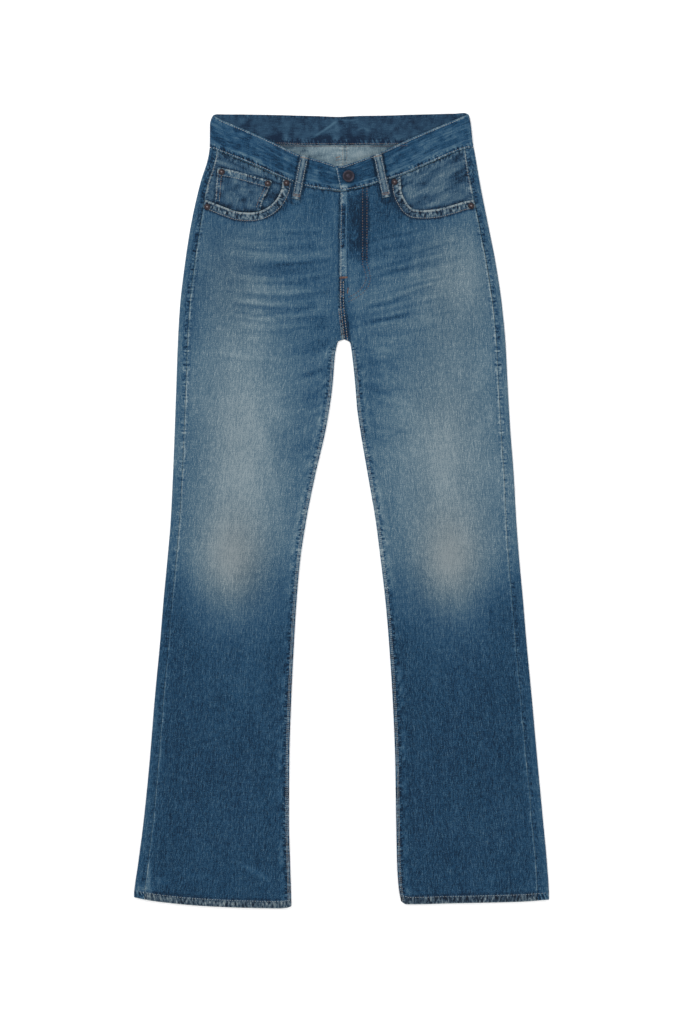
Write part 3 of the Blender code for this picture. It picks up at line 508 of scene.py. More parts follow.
def front_inner_x(side, drop):
    """A front panel's inner edge: the fly, then the crotch seam, then the inner fold of the leg."""
    seam = FLY_EDGE_X(drop)
    if side == RIGHT:
        under = np.minimum(FLY_UNDERLAP_X(drop), seam - SEAM_GAP)
        seam = np.where(drop > FLY_END_DROP, under, FLY_UNDERLAP_X(drop))
    end = FLY_EDGE_X(CROTCH_SEAM_DROP) - (SEAM_GAP if side == RIGHT else 0)
    share = np.clip((drop - CROTCH_SEAM_DROP) / (CROTCH_DROP - CROTCH_SEAM_DROP), 0, 1)
    below = np.where(drop >= CROTCH_DROP, INNER_X[side](drop), lerp(end, INNER_X[side](CROTCH_DROP), share))
    return np.where(drop <= CROTCH_SEAM_DROP, seam, below)


def back_inner_x(side, drop):
    """A back panel's inner edge: the seat seam, then the inner fold of the leg."""
    seam = CENTRE_BACK_X + side * SEAM_GAP / 2
    share = np.clip((drop - CROTCH_SEAM_DROP) / (CROTCH_DROP - CROTCH_SEAM_DROP), 0, 1)
    return lerp(seam, INNER_X[side](drop), share)


def curl(drop):
    """How far the cloth turns round the inner fold: not at all over the crotch, fully under it."""
    return smoothstep(CROTCH_DROP, CROTCH_DROP + 22, drop)


def fold_share(x, drop):
    """1 at an outer or inner fold, falling to 0 where the upper layer rests on the lower one."""
    outer = falling(3.4, OUTER_FOLD_RAMP, abs(x - by_side(OUTER_X, x, drop)))
    inner = falling(3.4, INNER_FOLD_RAMP, abs(x - by_side(INNER_X, x, drop)))
    return np.maximum(outer, inner * curl(drop))


def plateau(away):
    """1 within the margin round a hidden layer, and a soft ramp down to 0 outside it."""
    return falling(LAYER_MARGIN, LAYER_MARGIN + LAYER_RAMP, away)


def lift(x, drop):
    """How far the back pockets and the back belt loops raise the cloth that lies on them."""
    pocket_middle = BACK_POCKET_TOP_DROP + BACK_POCKET_POINT_DEPTH / 2
    pocket_x = abs(abs(x - CENTRE_BACK_X) - BACK_POCKET_CENTRE) - BACK_POCKET_TOP_HALF_WIDTH
    pocket_drop = abs(drop - pocket_middle) - BACK_POCKET_POINT_DEPTH / 2
    rise = (BACK_POCKET_WALL + SEAM_GAP) * plateau(np.maximum(pocket_x, pocket_drop))
    loop_middle = (BACK_LOOP_TOP_DROP + BACK_LOOP_BOTTOM_DROP) / 2
    loop_drop = abs(drop - loop_middle) - (BACK_LOOP_BOTTOM_DROP - BACK_LOOP_TOP_DROP) / 2
    for _, loop_x in BACK_LOOPS:
        away = abs(x - CENTRE_BACK_X - loop_x) - BACK_LOOP_HALF_WIDTH
        rise = np.maximum(rise, (BACK_LOOP_WALL + SEAM_GAP) * plateau(np.maximum(away, loop_drop)))
    return rise


def hem_share(x, drop):
    """1 over the turned-up hem and its margin, 0 above its ramp."""
    hem_top = by_side(HEM_DROP, x, x) - HEM_DEPTH
    return falling(LAYER_MARGIN, LAYER_MARGIN + LAYER_RAMP, hem_top - drop)


def lower_layer(x, drop):
    """Room that the lower layer takes: the waistband's doubled cloth, the hem's, or one panel."""
    band = lerp(PANEL_WALL, BAND_WALL, plateau(drop - BACK_SEAM_DROP(x)))
    return np.maximum(band, lerp(PANEL_WALL, HEM_WALL, hem_share(x, drop)))


def along_creases(rows, x, drop, column):
    """The sum of a table's creases at a place: column 2 is their height, 3 how pale they are."""
    total = blank(x, drop)
    for row in rows:
        away, along = near(rounded(row[0], 12), x, drop)
        length = sum(math.dist(a, b) for a, b in zip(row[0], row[0][1:]))
        taper = min(0.3 * length, 30)
        ends = smoothstep(0, taper, along) * smoothstep(0, taper, length - along)
        half_width = row[1] * (1 + 0.35 * ripple(along / 17, 0, length))
        strength = row[column] * (0.85 + 0.35 * ripple(along / 9, 0, length + 1))
        total = total + strength * ends * bell(away, half_width)
    return total


def folds(x, drop):
    """The soft folds pressed into the fronts, faded out at the folded edges."""
    total = blank(x, drop)
    for x0, drop0, x1, drop1, half_width, height in FRONT_FOLDS:
        away, along = near(((x0, drop0), (x1, drop1)), x, drop)
        length = math.dist((x0, drop0), (x1, drop1))
        ends = smoothstep(0, 30, along) * smoothstep(0, 30, length - along)
        total = total + height * ends * bell(away, half_width)
    return total * (1 - fold_share(x, drop))


def upper_height(x, drop, wall, fold_height):
    """Top of a piece of the upper layer."""
    rest = lower_layer(x, drop) + REST_GAP + wall
    return lift(x, drop) + lerp(rest, fold_height, fold_share(x, drop))


def facing_height(x, drop):
    return upper_height(x, drop, PANEL_WALL, 2 * PANEL_FOLD_RADIUS)


def band_front_height(x, drop, is_left_end):
    rise = 0
    if is_left_end:
        rise = (BAND_WALL + OVERLAY_GAP) * plateau(x - BAND_END_RIGHT[1])
    return upper_height(x, drop, BAND_WALL, 2 * BAND_FOLD_RADIUS) + rise


def near(points, x, drop):
    """For each place the shortest distance to a line through points, and how far along it that is."""
    best = blank(x, drop) + 1e9
    along = blank(x, drop)
    passed = 0
    for (x0, drop0), (x1, drop1) in zip(points, points[1:]):
        run = (x1 - x0, drop1 - drop0)
        length = math.hypot(*run)
        share = ((x - x0) * run[0] + (drop - drop0) * run[1]) / length**2
        share = np.clip(share, 0, 1)
        away = np.hypot(x - x0 - run[0] * share, drop - drop0 - run[1] * share)
        closer = away < best
        best = np.where(closer, away, best)
        along = np.where(closer, passed + share * length, along)
        passed += length
    return best, along


def front_height(side, x, drop):
    """Top of a front panel: over the pocket facing and the fly it rides one layer higher."""
    wall = lerp(PANEL_WALL, HEM_WALL, hem_share(x, drop))
    overlay = PANEL_WALL + OVERLAY_GAP
    rise = overlay * plateau(near(POCKET_OPENINGS[side], x, drop)[0] - FACING_BORDER)
    if side == LEFT:
        fly = plateau(x - FLY_UNDERLAP[0][1]) * falling(FLY_END_DROP, FLY_FADE_DROP, drop)
        rise = np.maximum(rise, overlay * fly)
    return upper_height(x, drop, wall, 2 * PANEL_FOLD_RADIUS) + rise + folds(x, drop)


def spread(points, cells):
    """Points at even distances along a line through points."""
    lengths = [math.dist(a, b) for a, b in zip(points, points[1:])]
    places = []
    for n in range(cells + 1):
        left = sum(lengths) * n / cells
        i = 0
        while i < len(lengths) - 1 and left > lengths[i]:
            left -= lengths[i]
            i += 1
        share = left / lengths[i]
        places.append(tuple(lerp(a, b, share) for a, b in zip(points[i], points[i + 1])))
    return places


def rounded(points, cells):
    """Even points along a smooth curve through a few."""
    lengths = [0]
    for a, b in zip(points, points[1:]):
        lengths.append(lengths[-1] + math.dist(a, b))
    x_at = smooth_line([(s, p[0]) for s, p in zip(lengths, points)])
    drop_at = smooth_line([(s, p[1]) for s, p in zip(lengths, points)])
    fine = [lengths[-1] * n / 200 for n in range(201)]
    return spread([(float(x_at(s)), float(drop_at(s))) for s in fine], cells)


def offset(points, away):
    """A line beside another one; a positive distance is on its right as drop grows downwards."""
    moved = []
    for i, here in enumerate(points):
        before, after = points[max(i - 1, 0)], points[min(i + 1, len(points) - 1)]
        run = (after[0] - before[0], after[1] - before[1])
        length = math.hypot(*run)
        moved.append((here[0] - run[1] / length * away, here[1] + run[0] / length * away))
    return moved


def meet(line, place, start):
    """The drop at which each column, whose x follows from its drop, meets a line: found from a guess."""
    drop = start
    for _ in range(8):
        drop = line(place(drop))
    return drop


def fineness():
    return 1.0


def graded(total, rim, inside, rim_width):
    """Places from 0 to total: close at the two edges, with extra ones for a rounded edge."""
    rim, inside = rim * fineness(), inside * fineness()
    edge = [0, 0.25, 0.75]
    edge = edge + list(np.arange(edge[-1] + rim, rim_width, rim))
    middle = total - edge[-1] - edge[-1]
    cells = max(2, round(middle / inside))
    level = [edge[-1] + middle * n / cells for n in range(1, cells)]
    return np.array(edge + level + [total - place for place in reversed(edge)])


def graded_shares(total, rim, inside, rim_width, is_down=False):
    """Graded places as shares of their total: a column for the way across, a row for the way down."""
    shares = graded(total, rim, inside, rim_width) / total
    return shares[None, :] if is_down else shares[:, None]


def softened(away, wall):
    """How far one face of a wall of cloth is drawn in near its cut or folded edge."""
    radius = wall * 0.42
    short = np.clip(radius * 1.8 - away, 0, radius * 1.8) / (radius * 1.8)
    return radius * (1 - np.sqrt(1 - short * short * 0.999))


class Seams:
    """Wear and painted shade beside a piece's seams: the nearest one's distance and run, puckers, pale rim,
    dark lines of painted shade.
    """

    def __init__(self, x, drop):
        self.away = blank(x, drop) + NO_SEAM_NEAR
        self.along, self.pucker, self.rim, self.shade = (blank(x, drop) for _ in range(4))

    def add(self, away, along, reach, pucker, rim=0, rim_width=1.4):
        """A seam that puckers the cloth within its reach and rubs its own edge pale."""
        away = np.abs(away)
        strength = pucker * falling(0.55 * reach, reach, away)
        stronger = strength > self.pucker
        self.away = np.where(stronger, away, self.away)
        self.along = np.where(stronger, along, self.along)
        self.pucker = np.where(stronger, strength, self.pucker)
        width = rim_width * (1 + 0.35 * ripple(along / 7, 0, 1))
        patchy = 0.8 + 0.35 * ripple(along / 11, 0, 2)
        return self.lighten(rim * patchy * falling(0.3 * width, width, away))

    def lighten(self, amount):
        """A pale line or patch, where the yarns are rubbed to their white core."""
        self.rim = np.maximum(self.rim, amount)
        return self

    def darken(self, amount):
        """A darker patch."""
        self.shade = self.shade - amount
        return self

    def shade_and_wear_line(self, away, at, half_width, depth):
        """A dark line of painted shade beside a seam or an edge; a negative depth paints a pale band of wear
        instead.
        """
        return self.darken(depth * bell(np.abs(away) - at, half_width))

    def wave(self):
        """The puckers' own shape, -1 to 1: ridges set askew to the seam, about 5 mm apart."""
        slanted = self.along + self.away * 0.5
        phase = slanted / 5.3 + 0.7 * ripple(slanted / 15, self.away / 22, 3)
        regular = np.sin(math.tau * phase) * (0.6 + 0.4 * ripple(slanted / 9, self.away / 16, 4))
        fine = ripple(slanted / 2.4, self.away / 9, 5)
        return self.pucker * (0.75 * regular + 0.35 * fine)

    def wear_and_shade(self):
        """What the seams add to how pale the cloth is: the puckers' wear and the painted shade beside them.
        """
        return 0.46 * self.wave() + self.shade


def sizes():
    return bpy.context.scene.jeans_sizes


def colours():
    return bpy.context.scene.jeans_colours


def relief(x, drop, seams, creases):
    """Creases, puckers and a soft unevenness, in millimetres."""
    uneven = 0.16 * ripple(x / 21, drop / 34, 11) + 0.08 * ripple(x / 8, drop / 13, 12)
    pressed = along_creases(creases, x, drop, 2) * (1 - 0.7 * fold_share(x, drop))
    return pressed + uneven + sizes().pucker_height / MM * seams.wave()


def loop_shadow(x, drop):
    """Painted shade along both sides of each front belt loop, where the loop shades the cloth."""
    total = blank(x, drop)
    for _, top_x, top_drop, low_x, low_drop in FRONT_LOOPS:
        away = near([(top_x, top_drop), (low_x, low_drop)], x, drop)[0]
        total = total + 0.26 * bell(away - FRONT_LOOP_WIDTH / 2 - 1.4, 1.8)
    return total


def whiskers(x, drop):
    """Soft streaks that wearing has set across the hips and, the other way, on the inner thighs."""
    out = abs(x)
    arc = np.where(x < 0, drop + 0.0012 * (x + 75) ** 2, drop + 0.23 * x)
    hips = between(8, 30, 110, 190, out) * between(160, 200, 300, 345, drop)
    slant = np.where(x < 0, drop + 0.32 * x, drop - 0.22 * x)
    thighs = falling(60, 120, out) * between(310, 345, 430, 570, drop)
    across_hips = 0.8 * ripple(arc / 5.6, x / 110, 31) + 0.5 * ripple(arc / 2.9, x / 64, 32)
    across_thighs = 0.8 * ripple(slant / 7, x / 50, 33) + 0.4 * ripple(slant / 3.5, x / 30, 34)
    return 0.17 * hips * across_hips + 0.12 * thighs * across_thighs


def front_fade_and_shade(x, drop, seams, creases=FRONT_CREASES, fades_and_shade=FRONT_FADES_AND_SHADE):
    """How pale the cloth is, from 0, dark indigo, to 1, worn; painted shade beside the belt loops and the
    seams darkens it.
    """
    pale = BASE_FADE_AT(drop) + blank(x, drop)
    for at_x, at_drop, half_width, half_height, amount in fades_and_shade:
        aside, down = (x - at_x) / half_width, (drop - at_drop) / half_height
        pale = pale + amount * np.exp(-(aside**2) - down**2)
    edge = bell(np.minimum(abs(x - by_side(OUTER_X, x, drop)), 60), 16)
    pale = pale + 0.14 * edge * smoothstep(700, 900, drop)
    pale = pale + 0.82 * along_creases(creases, x, drop, 3) + whiskers(x, drop)
    mottled = 0.05 * ripple(x / 30, drop / 60, 21) + 0.03 * ripple(x / 9, drop / 22, 22)
    return pale + mottled * (1 - 0.5 * smoothstep(700, 780, drop)) - loop_shadow(x, drop) + seams.wear_and_shade()


def knee_grey(x, drop):
    """How far the indigo has turned to grey: most at the knees."""
    total = blank(x, drop)
    for side in SIDE_NAMES:
        knee = ((x - side * 157) / 44) ** 2 + ((drop - 645) / 66) ** 2
        thigh = ((x - side * 152) / 56) ** 2 + ((drop - 480) / 150) ** 2
        hip = ((x - side * 160) / 56) ** 2 + ((drop - 240) / 80) ** 2
        total = total + 0.55 * np.exp(-knee) + 0.22 * np.exp(-thigh) + 0.20 * np.exp(-hip)
    return total


def place_at(x, drop, z):
    """Millimetres in the garment's own terms to a point of the frame in metres."""
    x, drop, z = np.broadcast_arrays(x, drop, z)
    return np.stack([x, LENGTH / 2 - drop, z], axis=-1) * MM


def level_pair(x, drop, top, wall, edge_away=None):
    """The upper and the lower face of cloth that lies level, with soft edges."""
    drawn = 0 if edge_away is None else softened(edge_away, wall)
    return place_at(x, drop, top - drawn), place_at(x, drop, top - wall + drawn)


def new_material(name, roughness, metallic=0, sheen=0, specular=0.5):
    material = bpy.data.materials.new(name)
    material.use_nodes = True
    shader = material.node_tree.nodes["Principled BSDF"]
    shader.inputs["Roughness"].default_value = roughness
    shader.inputs["Metallic"].default_value = metallic
    shader.inputs["Sheen Weight"].default_value = sheen
    shader.inputs["Sheen Roughness"].default_value = 0.5
    shader.inputs["Specular IOR Level"].default_value = specular
    return material, material.node_tree, shader


def add_node(tree, kind, inputs=None, **settings):
    """A shader node with its settings; an input is a value or another node's output."""
    node = tree.nodes.new("ShaderNode" + kind)
    for key, value in settings.items():
        setattr(node, key, value)
    for key, value in (inputs or {}).items():
        if isinstance(value, bpy.types.NodeSocket):
            tree.links.new(value, node.inputs[key])
        else:
            node.inputs[key].default_value = value
    return node


def attribute(tree, name, output="Fac"):
    return add_node(tree, "Attribute", attribute_name=name).outputs[output]


def maths(tree, operation, first, second, third=None, clamp=False):
    inputs = {0: first, 1: second}
    if third is not None:
        inputs[2] = third
    return add_node(tree, "Math", inputs, operation=operation, use_clamp=clamp).outputs[0]


def noise(tree, vector, scale, detail=2, distortion=0, roughness=0.5):
    """Noise whose spots measure scale, a size in metres along each of the three axes."""
    spread_out = add_node(tree, "Mapping", {"Vector": vector, "Scale": [1 / s for s in scale]})
    inputs = {"Vector": spread_out.outputs["Vector"], "Scale": 1, "Detail": detail}
    inputs.update({"Distortion": distortion, "Roughness": roughness})
    return add_node(tree, "TexNoise", inputs).outputs["Fac"]


def ramp(tree, fac, stops):
    node = add_node(tree, "ValToRGB", {"Fac": fac})
    band = node.color_ramp
    while len(band.elements) < len(stops):
        band.elements.new(1)
    for element, (position, colour) in zip(band.elements, stops):
        element.position = position
        element.color = (*colour[:3], 1)
    return node.outputs["Color"]


def raise_surface(tree, shader, height, strength, distance):
    """A bump whose height comes from a node, its full depth in metres."""
    bump = add_node(tree, "Bump", {"Height": height, "Strength": strength, "Distance": distance})
    tree.links.new(bump.outputs["Normal"], shader.inputs["Normal"])


def screen(red, green, blue):
    """The cloth's own colour from the one seen under the studio's bright light, 0 to 255."""
    parts = []
    for part in (red, green, blue):
        part = part / 255
        parts.append((part / 12.92 if part <= 0.04045 else ((part + 0.055) / 1.055) ** 2.4) / STUDIO_LIGHT)
    return tuple(parts)


def denim(name, stops, shift=0, streak=1):
    """Indigo twill: colour by wear and painted shade, uneven warp yarns, a faint weft and the diagonal rib.
    """
    material, tree, shader = new_material(name, 0.9, sheen=0.03, specular=0.12)
    place = attribute(tree, "cloth_place", "Vector")
    seam = attribute(tree, "seam_place", "Vector")
    parts = add_node(tree, "SeparateXYZ", {"Vector": place}).outputs
    staggered = maths(tree, "MULTIPLY_ADD", parts["X"], 3.4, parts["Y"])
    yarns = add_node(tree, "CombineXYZ", {"X": parts["X"], "Y": staggered}).outputs["Vector"]
    yarn = noise(tree, yarns, (0.0009, 0.008, 1), 2, roughness=0.6)
    slub = noise(tree, yarns, (0.0014, 0.050, 1), 2)
    speckle = noise(tree, place, (0.0010, 0.0013, 1), 2, roughness=0.7)
    band = noise(tree, place, (0.008, 0.15, 1), 2)
    weft = noise(tree, place, (0.03, 0.0016, 1), 2)
    cloud = noise(tree, place, (0.020, 0.030, 1), 3)
    ladder = noise(tree, seam, (0.008, 0.0030, 1), 2, distortion=0.6)
    swing = 0
    uneven = ((yarn, 1.45), (speckle, 2.05), (slub, 0.60), (band, 0.16), (weft, 0.26), (cloud, 0.05))
    for source, amount in uneven:
        centred = maths(tree, "SUBTRACT", source, 0.5)
        swing = maths(tree, "MULTIPLY_ADD", centred, amount * streak, swing)
    paler_only = maths(tree, "MAXIMUM", swing, maths(tree, "MULTIPLY", swing, DARK_SWING))
    # The stored tone holds both the cloth's wear and painted shade.
    worn = maths(tree, "ADD", maths(tree, "ADD", attribute(tree, "fade_and_shade"), shift - 0.02), paler_only)
    ridges = maths(tree, "MULTIPLY", maths(tree, "SUBTRACT", ladder, 0.5), attribute(tree, "pucker"))
    worn = maths(tree, "MULTIPLY_ADD", ridges, 2.6, worn)
    rim = maths(tree, "MULTIPLY", attribute(tree, "rim"), maths(tree, "ADD", speckle, 0.5))
    worn = maths(tree, "ADD", worn, rim, clamp=True)
    colour = ramp(tree, worn, stops)
    brightness = add_node(tree, "RGBToBW", {"Color": colour}).outputs[0]
    same = {"Red": brightness, "Green": brightness, "Blue": brightness}
    grey = add_node(tree, "CombineColor", same)
    warm = {"Factor": 1, "A": grey.outputs[0], "B": (*colours().knee_tint, 1)}
    warm = add_node(tree, "Mix", warm, data_type="RGBA", blend_type="MULTIPLY")
    tint = maths(tree, "MULTIPLY", attribute(tree, "grey"), 0.8, clamp=True)
    mixed = {"Factor": tint, "A": colour, "B": color_output(warm)}
    mixed = add_node(tree, "Mix", mixed, data_type="RGBA")
    tree.links.new(color_output(mixed), shader.inputs["Base Color"])
    rib = add_node(tree, "Mapping", {"Vector": place, "Rotation": (0, 0, math.radians(62))})
    ribs = {"Vector": rib.outputs["Vector"], "Scale": 230, "Distortion": 1.2, "Detail": 1,
            "Detail Scale": 2}
    twill = add_node(tree, "TexWave", ribs, wave_type="BANDS", bands_direction="X").outputs["Fac"]
    height = maths(tree, "MULTIPLY_ADD", yarn, 1.6, maths(tree, "MULTIPLY", twill, 0.35))
    height = maths(tree, "MULTIPLY_ADD", ridges, 6, height)
    raise_surface(tree, shader, height, 0.5, 0.00025)
    return material


def color_output(mix):
    """The colour output of a Mix node, which has one output for each kind of data."""
    return next(out for out in mix.outputs if out.type == "RGBA")


def worn_stops():
    c = colours()
    return (
        (0, c.indigo_deep),
        (0.10, lerp_colour(c.indigo_deep, c.indigo_dark, 0.72)),
        (0.20, c.indigo_dark),
        (0.33, c.indigo_mid),
        (0.50, c.indigo_soft),
        (0.70, c.indigo_pale),
        (0.85, c.indigo_worn),
        (1, c.indigo_white),
    )


def reverse_stops():
    c = colours()
    return ((0, c.reverse_dark), (0.5, c.reverse_mid), (1, c.reverse_pale))


def band_inside_stops():
    c = colours()
    return ((0, c.band_inside_dark), (0.4, c.band_inside_mid), (1, c.indigo_soft))


def cloth_materials(name):
    """A piece's two materials: the worn right side, and the pale wrong side."""
    outside = denim(name + "_indigo", worn_stops())
    return outside, denim(name + "_reverse", reverse_stops(), shift=0.1, streak=0.9)


def finished_mesh(mesh, name):
    data = bpy.data.meshes.new(name)
    mesh.to_mesh(data)
    mesh.free()
    return data


def mesh_points(data):
    flat = np.empty(len(data.vertices) * 3)
    data.vertices.foreach_get("co", flat)
    return flat.reshape(-1, 3)


def in_scene(name, data):
    thing = bpy.data.objects.new(name, data)
    bpy.context.scene.collection.objects.link(thing)
    return thing


def record_piece(piece, node=None):
    """A finished piece rides on the body and stands for its CAD node, if it has one."""
    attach(piece, "root")
    if node:
        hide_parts(node)
    return piece


def add_attribute(data, key, values):
    """A number or a vector for each of the mesh's points."""
    kind, part = ("FLOAT", "value") if values.ndim == 1 else ("FLOAT_VECTOR", "vector")
    layer = data.attributes.new(key, kind, "POINT")
    layer.data.foreach_set(part, values.astype(np.float32).ravel())


def turn_outwards(data):
    mesh = bmesh.new()
    mesh.from_mesh(data)
    bmesh.ops.recalc_face_normals(mesh, faces=list(mesh.faces))
    mesh.to_mesh(data)
    mesh.free()


def sewn_wall(node, rests_on, faces, grain, fade_and_shade, grey, seams, materials=None, reverse_fade_and_shade=None):
    """A closed wall of cloth from an outer and an inner face, each an array of (across, down) points.

    Points are in metres, places along the grain in millimetres. The last argument gives the wrong side its
    own wear and painted shade, where it has them.
    """
    outer, inner = faces
    across, down = outer.shape[0] - 1, outer.shape[1] - 1
    mesh = bmesh.new()
    bmesh.ops.create_grid(mesh, x_segments=across, y_segments=down, size=1)
    made = bmesh.ops.extrude_face_region(mesh, geom=list(mesh.faces))
    raised = [v for v in made["geom"] if isinstance(v, bmesh.types.BMVert)]
    bmesh.ops.translate(mesh, vec=(0, 0, 1), verts=raised)
    data = finished_mesh(mesh, node + "_cloth")
    count = len(data.vertices)
    grid = mesh_points(data)
    i = np.rint((grid[:, 0] + 1) / 2 * across).astype(int)
    j = np.rint((grid[:, 1] + 1) / 2 * down).astype(int)
    is_outer = grid[:, 2] > 0.5
    centres = np.empty(len(data.polygons) * 3)
    data.polygons.foreach_get("center", centres)
    on_inner = centres.reshape(-1, 3)[:, 2] < 0.25
    points = np.where(is_outer[:, None], outer[i, j], inner[i, j])
    data.vertices.foreach_set("co", points.ravel())
    data.polygons.foreach_set("material_index", on_inner.astype(np.int32))
    for material in materials or cloth_materials(node):
        data.materials.append(material)

    def at_points(values):
        return np.broadcast_to(values, outer.shape[:2])[i, j]

    reverse = at_points(fade_and_shade if reverse_fade_and_shade is None else reverse_fade_and_shade)
    add_attribute(data, "fade_and_shade", np.where(is_outer, at_points(fade_and_shade), reverse))
    for key, values in (("grey", grey), ("pucker", seams.pucker), ("rim", seams.rim)):
        add_attribute(data, key, at_points(values))
    for key, flat in (("cloth_place", grain), ("seam_place", (seams.away, seams.along))):
        flat = [at_points(values) * MM for values in flat]
        add_attribute(data, key, np.column_stack([*flat, np.zeros(count)]))
    turn_outwards(data)
    data.shade_smooth()
    data.set_sharp_from_angle(angle=math.radians(60))
    piece = record_piece(in_scene(node + "_cloth", data), node)
    rests_on = [rest + "_cloth" for rest in rests_on]


def front_seams(side, x, drop):
    """Wear along the edges and seams of a front panel, and painted shade beside them."""
    away, along = near(rounded(POCKET_OPENINGS[side], 60), x, drop)
    low = smoothstep(CROTCH_DROP, CROTCH_DROP + 12, drop)
    seams = Seams(x, drop)
    seams.add(away, along, 13, 1.25, 0.90, 2.8)
    # Painted shade: dark lines along the pocket hem's stitch rows and below its puckers; the small negative
    # depth at 8 mm paints a faintly paler band.
    seams.shade_and_wear_line(away, 13, 1.5, 0.34).shade_and_wear_line(away, 4.2, 1.2, 0.22).shade_and_wear_line(away, 8, 2.6, -0.03)
    seams.shade_and_wear_line(away, 17, 4.5, 0.04 + 0.12 * ripple(along / 3.6, 0, 97))
    from_outseam = x - outseam_x(side, drop)
    hip = falling(380, 760, drop)
    seams.add(from_outseam, drop + OUTSEAM_START, 6, 0.25 + 0.30 * hip, 0)
    bright = (0.40 + 0.06 * hip) * (0.75 + 0.5 * ripple(drop / 9, 0, 91))
    sway = 0.8 * ripple(drop / 16, 0, 92) + 1.2
    seams.lighten(bright * bell(np.abs(from_outseam) - sway, 1))
    # Painted shade beside the outseam, strongest at the hip.
    seams.shade_and_wear_line(from_outseam, 4.4, 1.3, 0.10 * hip)
    from_inner = (x - front_inner_x(side, drop)) / np.maximum(low, 0.2)
    seams.add(from_inner, drop + INNER_START, 12, 0.8, 0)
    # Painted shade along the inseam and beside its stitch rows; the negative depth at 12.5 mm paints pale
    # blotches of wear.
    seams.shade_and_wear_line(from_inner, 0, 1.2, 0.16)
    blotches = low * (0.10 + 0.22 * ripple((drop + from_inner * 0.5) / 6, np.abs(from_inner) / 9, 94))
    seams.shade_and_wear_line(from_inner, 12.5, 3.6, -blotches).shade_and_wear_line(from_inner, 6.6, 2.4, 0.10 * low)
    pale_line = 0.16 * bell(np.abs(from_inner) - 2, 0.8)
    seams.lighten(low * pale_line * (0.7 + 0.6 * ripple(drop / 8, 0, 96)))
    below_band = drop - FRONT_SEAM_DROP(x)
    seams.add(below_band, x + TOP_SEAM_START, 7, 0.4, 0)
    # Painted shadow of the waistband's lower edge on the panel.
    seams.shade_and_wear_line(below_band, 0, 2.2, 0.30)
    above_hem = HEM_DROP[side](x) - drop
    seams.add(above_hem, x + HEM_START, 14, 1, 0.50, 2.2)
    # Painted shade along the hem's stitch row; the negative depth at 6 mm paints the hem paler with wear.
    seams.shade_and_wear_line(above_hem, HEM_DEPTH + 1.4, 1.1, 0.16)
    seams.shade_and_wear_line(above_hem, 6, 4, -0.32 if side == RIGHT else -0.07)
    if side == RIGHT:
        # Painted shadow of the left front's fly edge on the right front.
        return seams.shade_and_wear_line(x - FLY_EDGE_X(drop), 0, 3, 0.26 * falling(FLY_END_DROP, FLY_FADE_DROP, drop))
    fly = falling(FLY_END_DROP, 290, drop)
    from_fly = x - FLY_EDGE_X(drop)
    strip = falling(7, 9.5, from_fly)
    pale = 0.33 * between(194, 200, 234, 241, drop) + 0.42 * falling(130, 138, drop)
    seams.add(from_fly, drop + FLY_START, 9, 0.6, 0.26, 1.2)
    # Painted shade beside the fly's stitch rows.
    seams.shade_and_wear_line(from_fly, 11.6, 1.4, 0.16 * fly).shade_and_wear_line(from_fly, 5, 2.6, 0.16 * fly)
    seams.lighten(0.24 * fly * bell(from_fly - 9.2, 0.8))
    seams.lighten(pale * strip)
    covered = between(112, 134, 192, 224, drop) * between(9, 13, 28, 44, x)
    sewn = between(108, 118, 215, 250, drop)
    seams.darken(covered * (0.18 + 0.07 * ripple(x / 9, drop / 17, 95)))
    # Painted shade along the J stitching.
    seams.shade_and_wear_line(x - 33.8, 0, 5.8, 0.17 * sewn)
    seams.lighten(0.14 * sewn * bell(x - 44.5, 1.6))
    dark_rows = between(130, 137, 189, 196, drop)
    dark_rows = dark_rows * (0.20 + 0.12 * np.sin(math.tau * drop / 4.2))
    seams.shade_and_wear_line(from_fly, 3, 1.1, dark_rows).shade_and_wear_line(from_fly, 6.6, 1.1, dark_rows)
    # A darker strip down the crotch seam below the fly, ending in painted shadow in the gap between the legs.
    crotch = falling(9, 12, from_fly) * smoothstep(238, 244, drop)
    seams.darken(0.22 * crotch * falling(336, 346, drop))
    seams.lighten(half_moon(x, drop))
    return seams


def half_moon(x, drop):
    """The pale ring that a button under the fly has worn into the cloth."""
    ring = np.hypot(x - 14.6, drop - 178)
    rising = smoothstep(0, 3, x - 14.6)
    return 0.34 * rising * bell(ring - 6.2, 1.4)


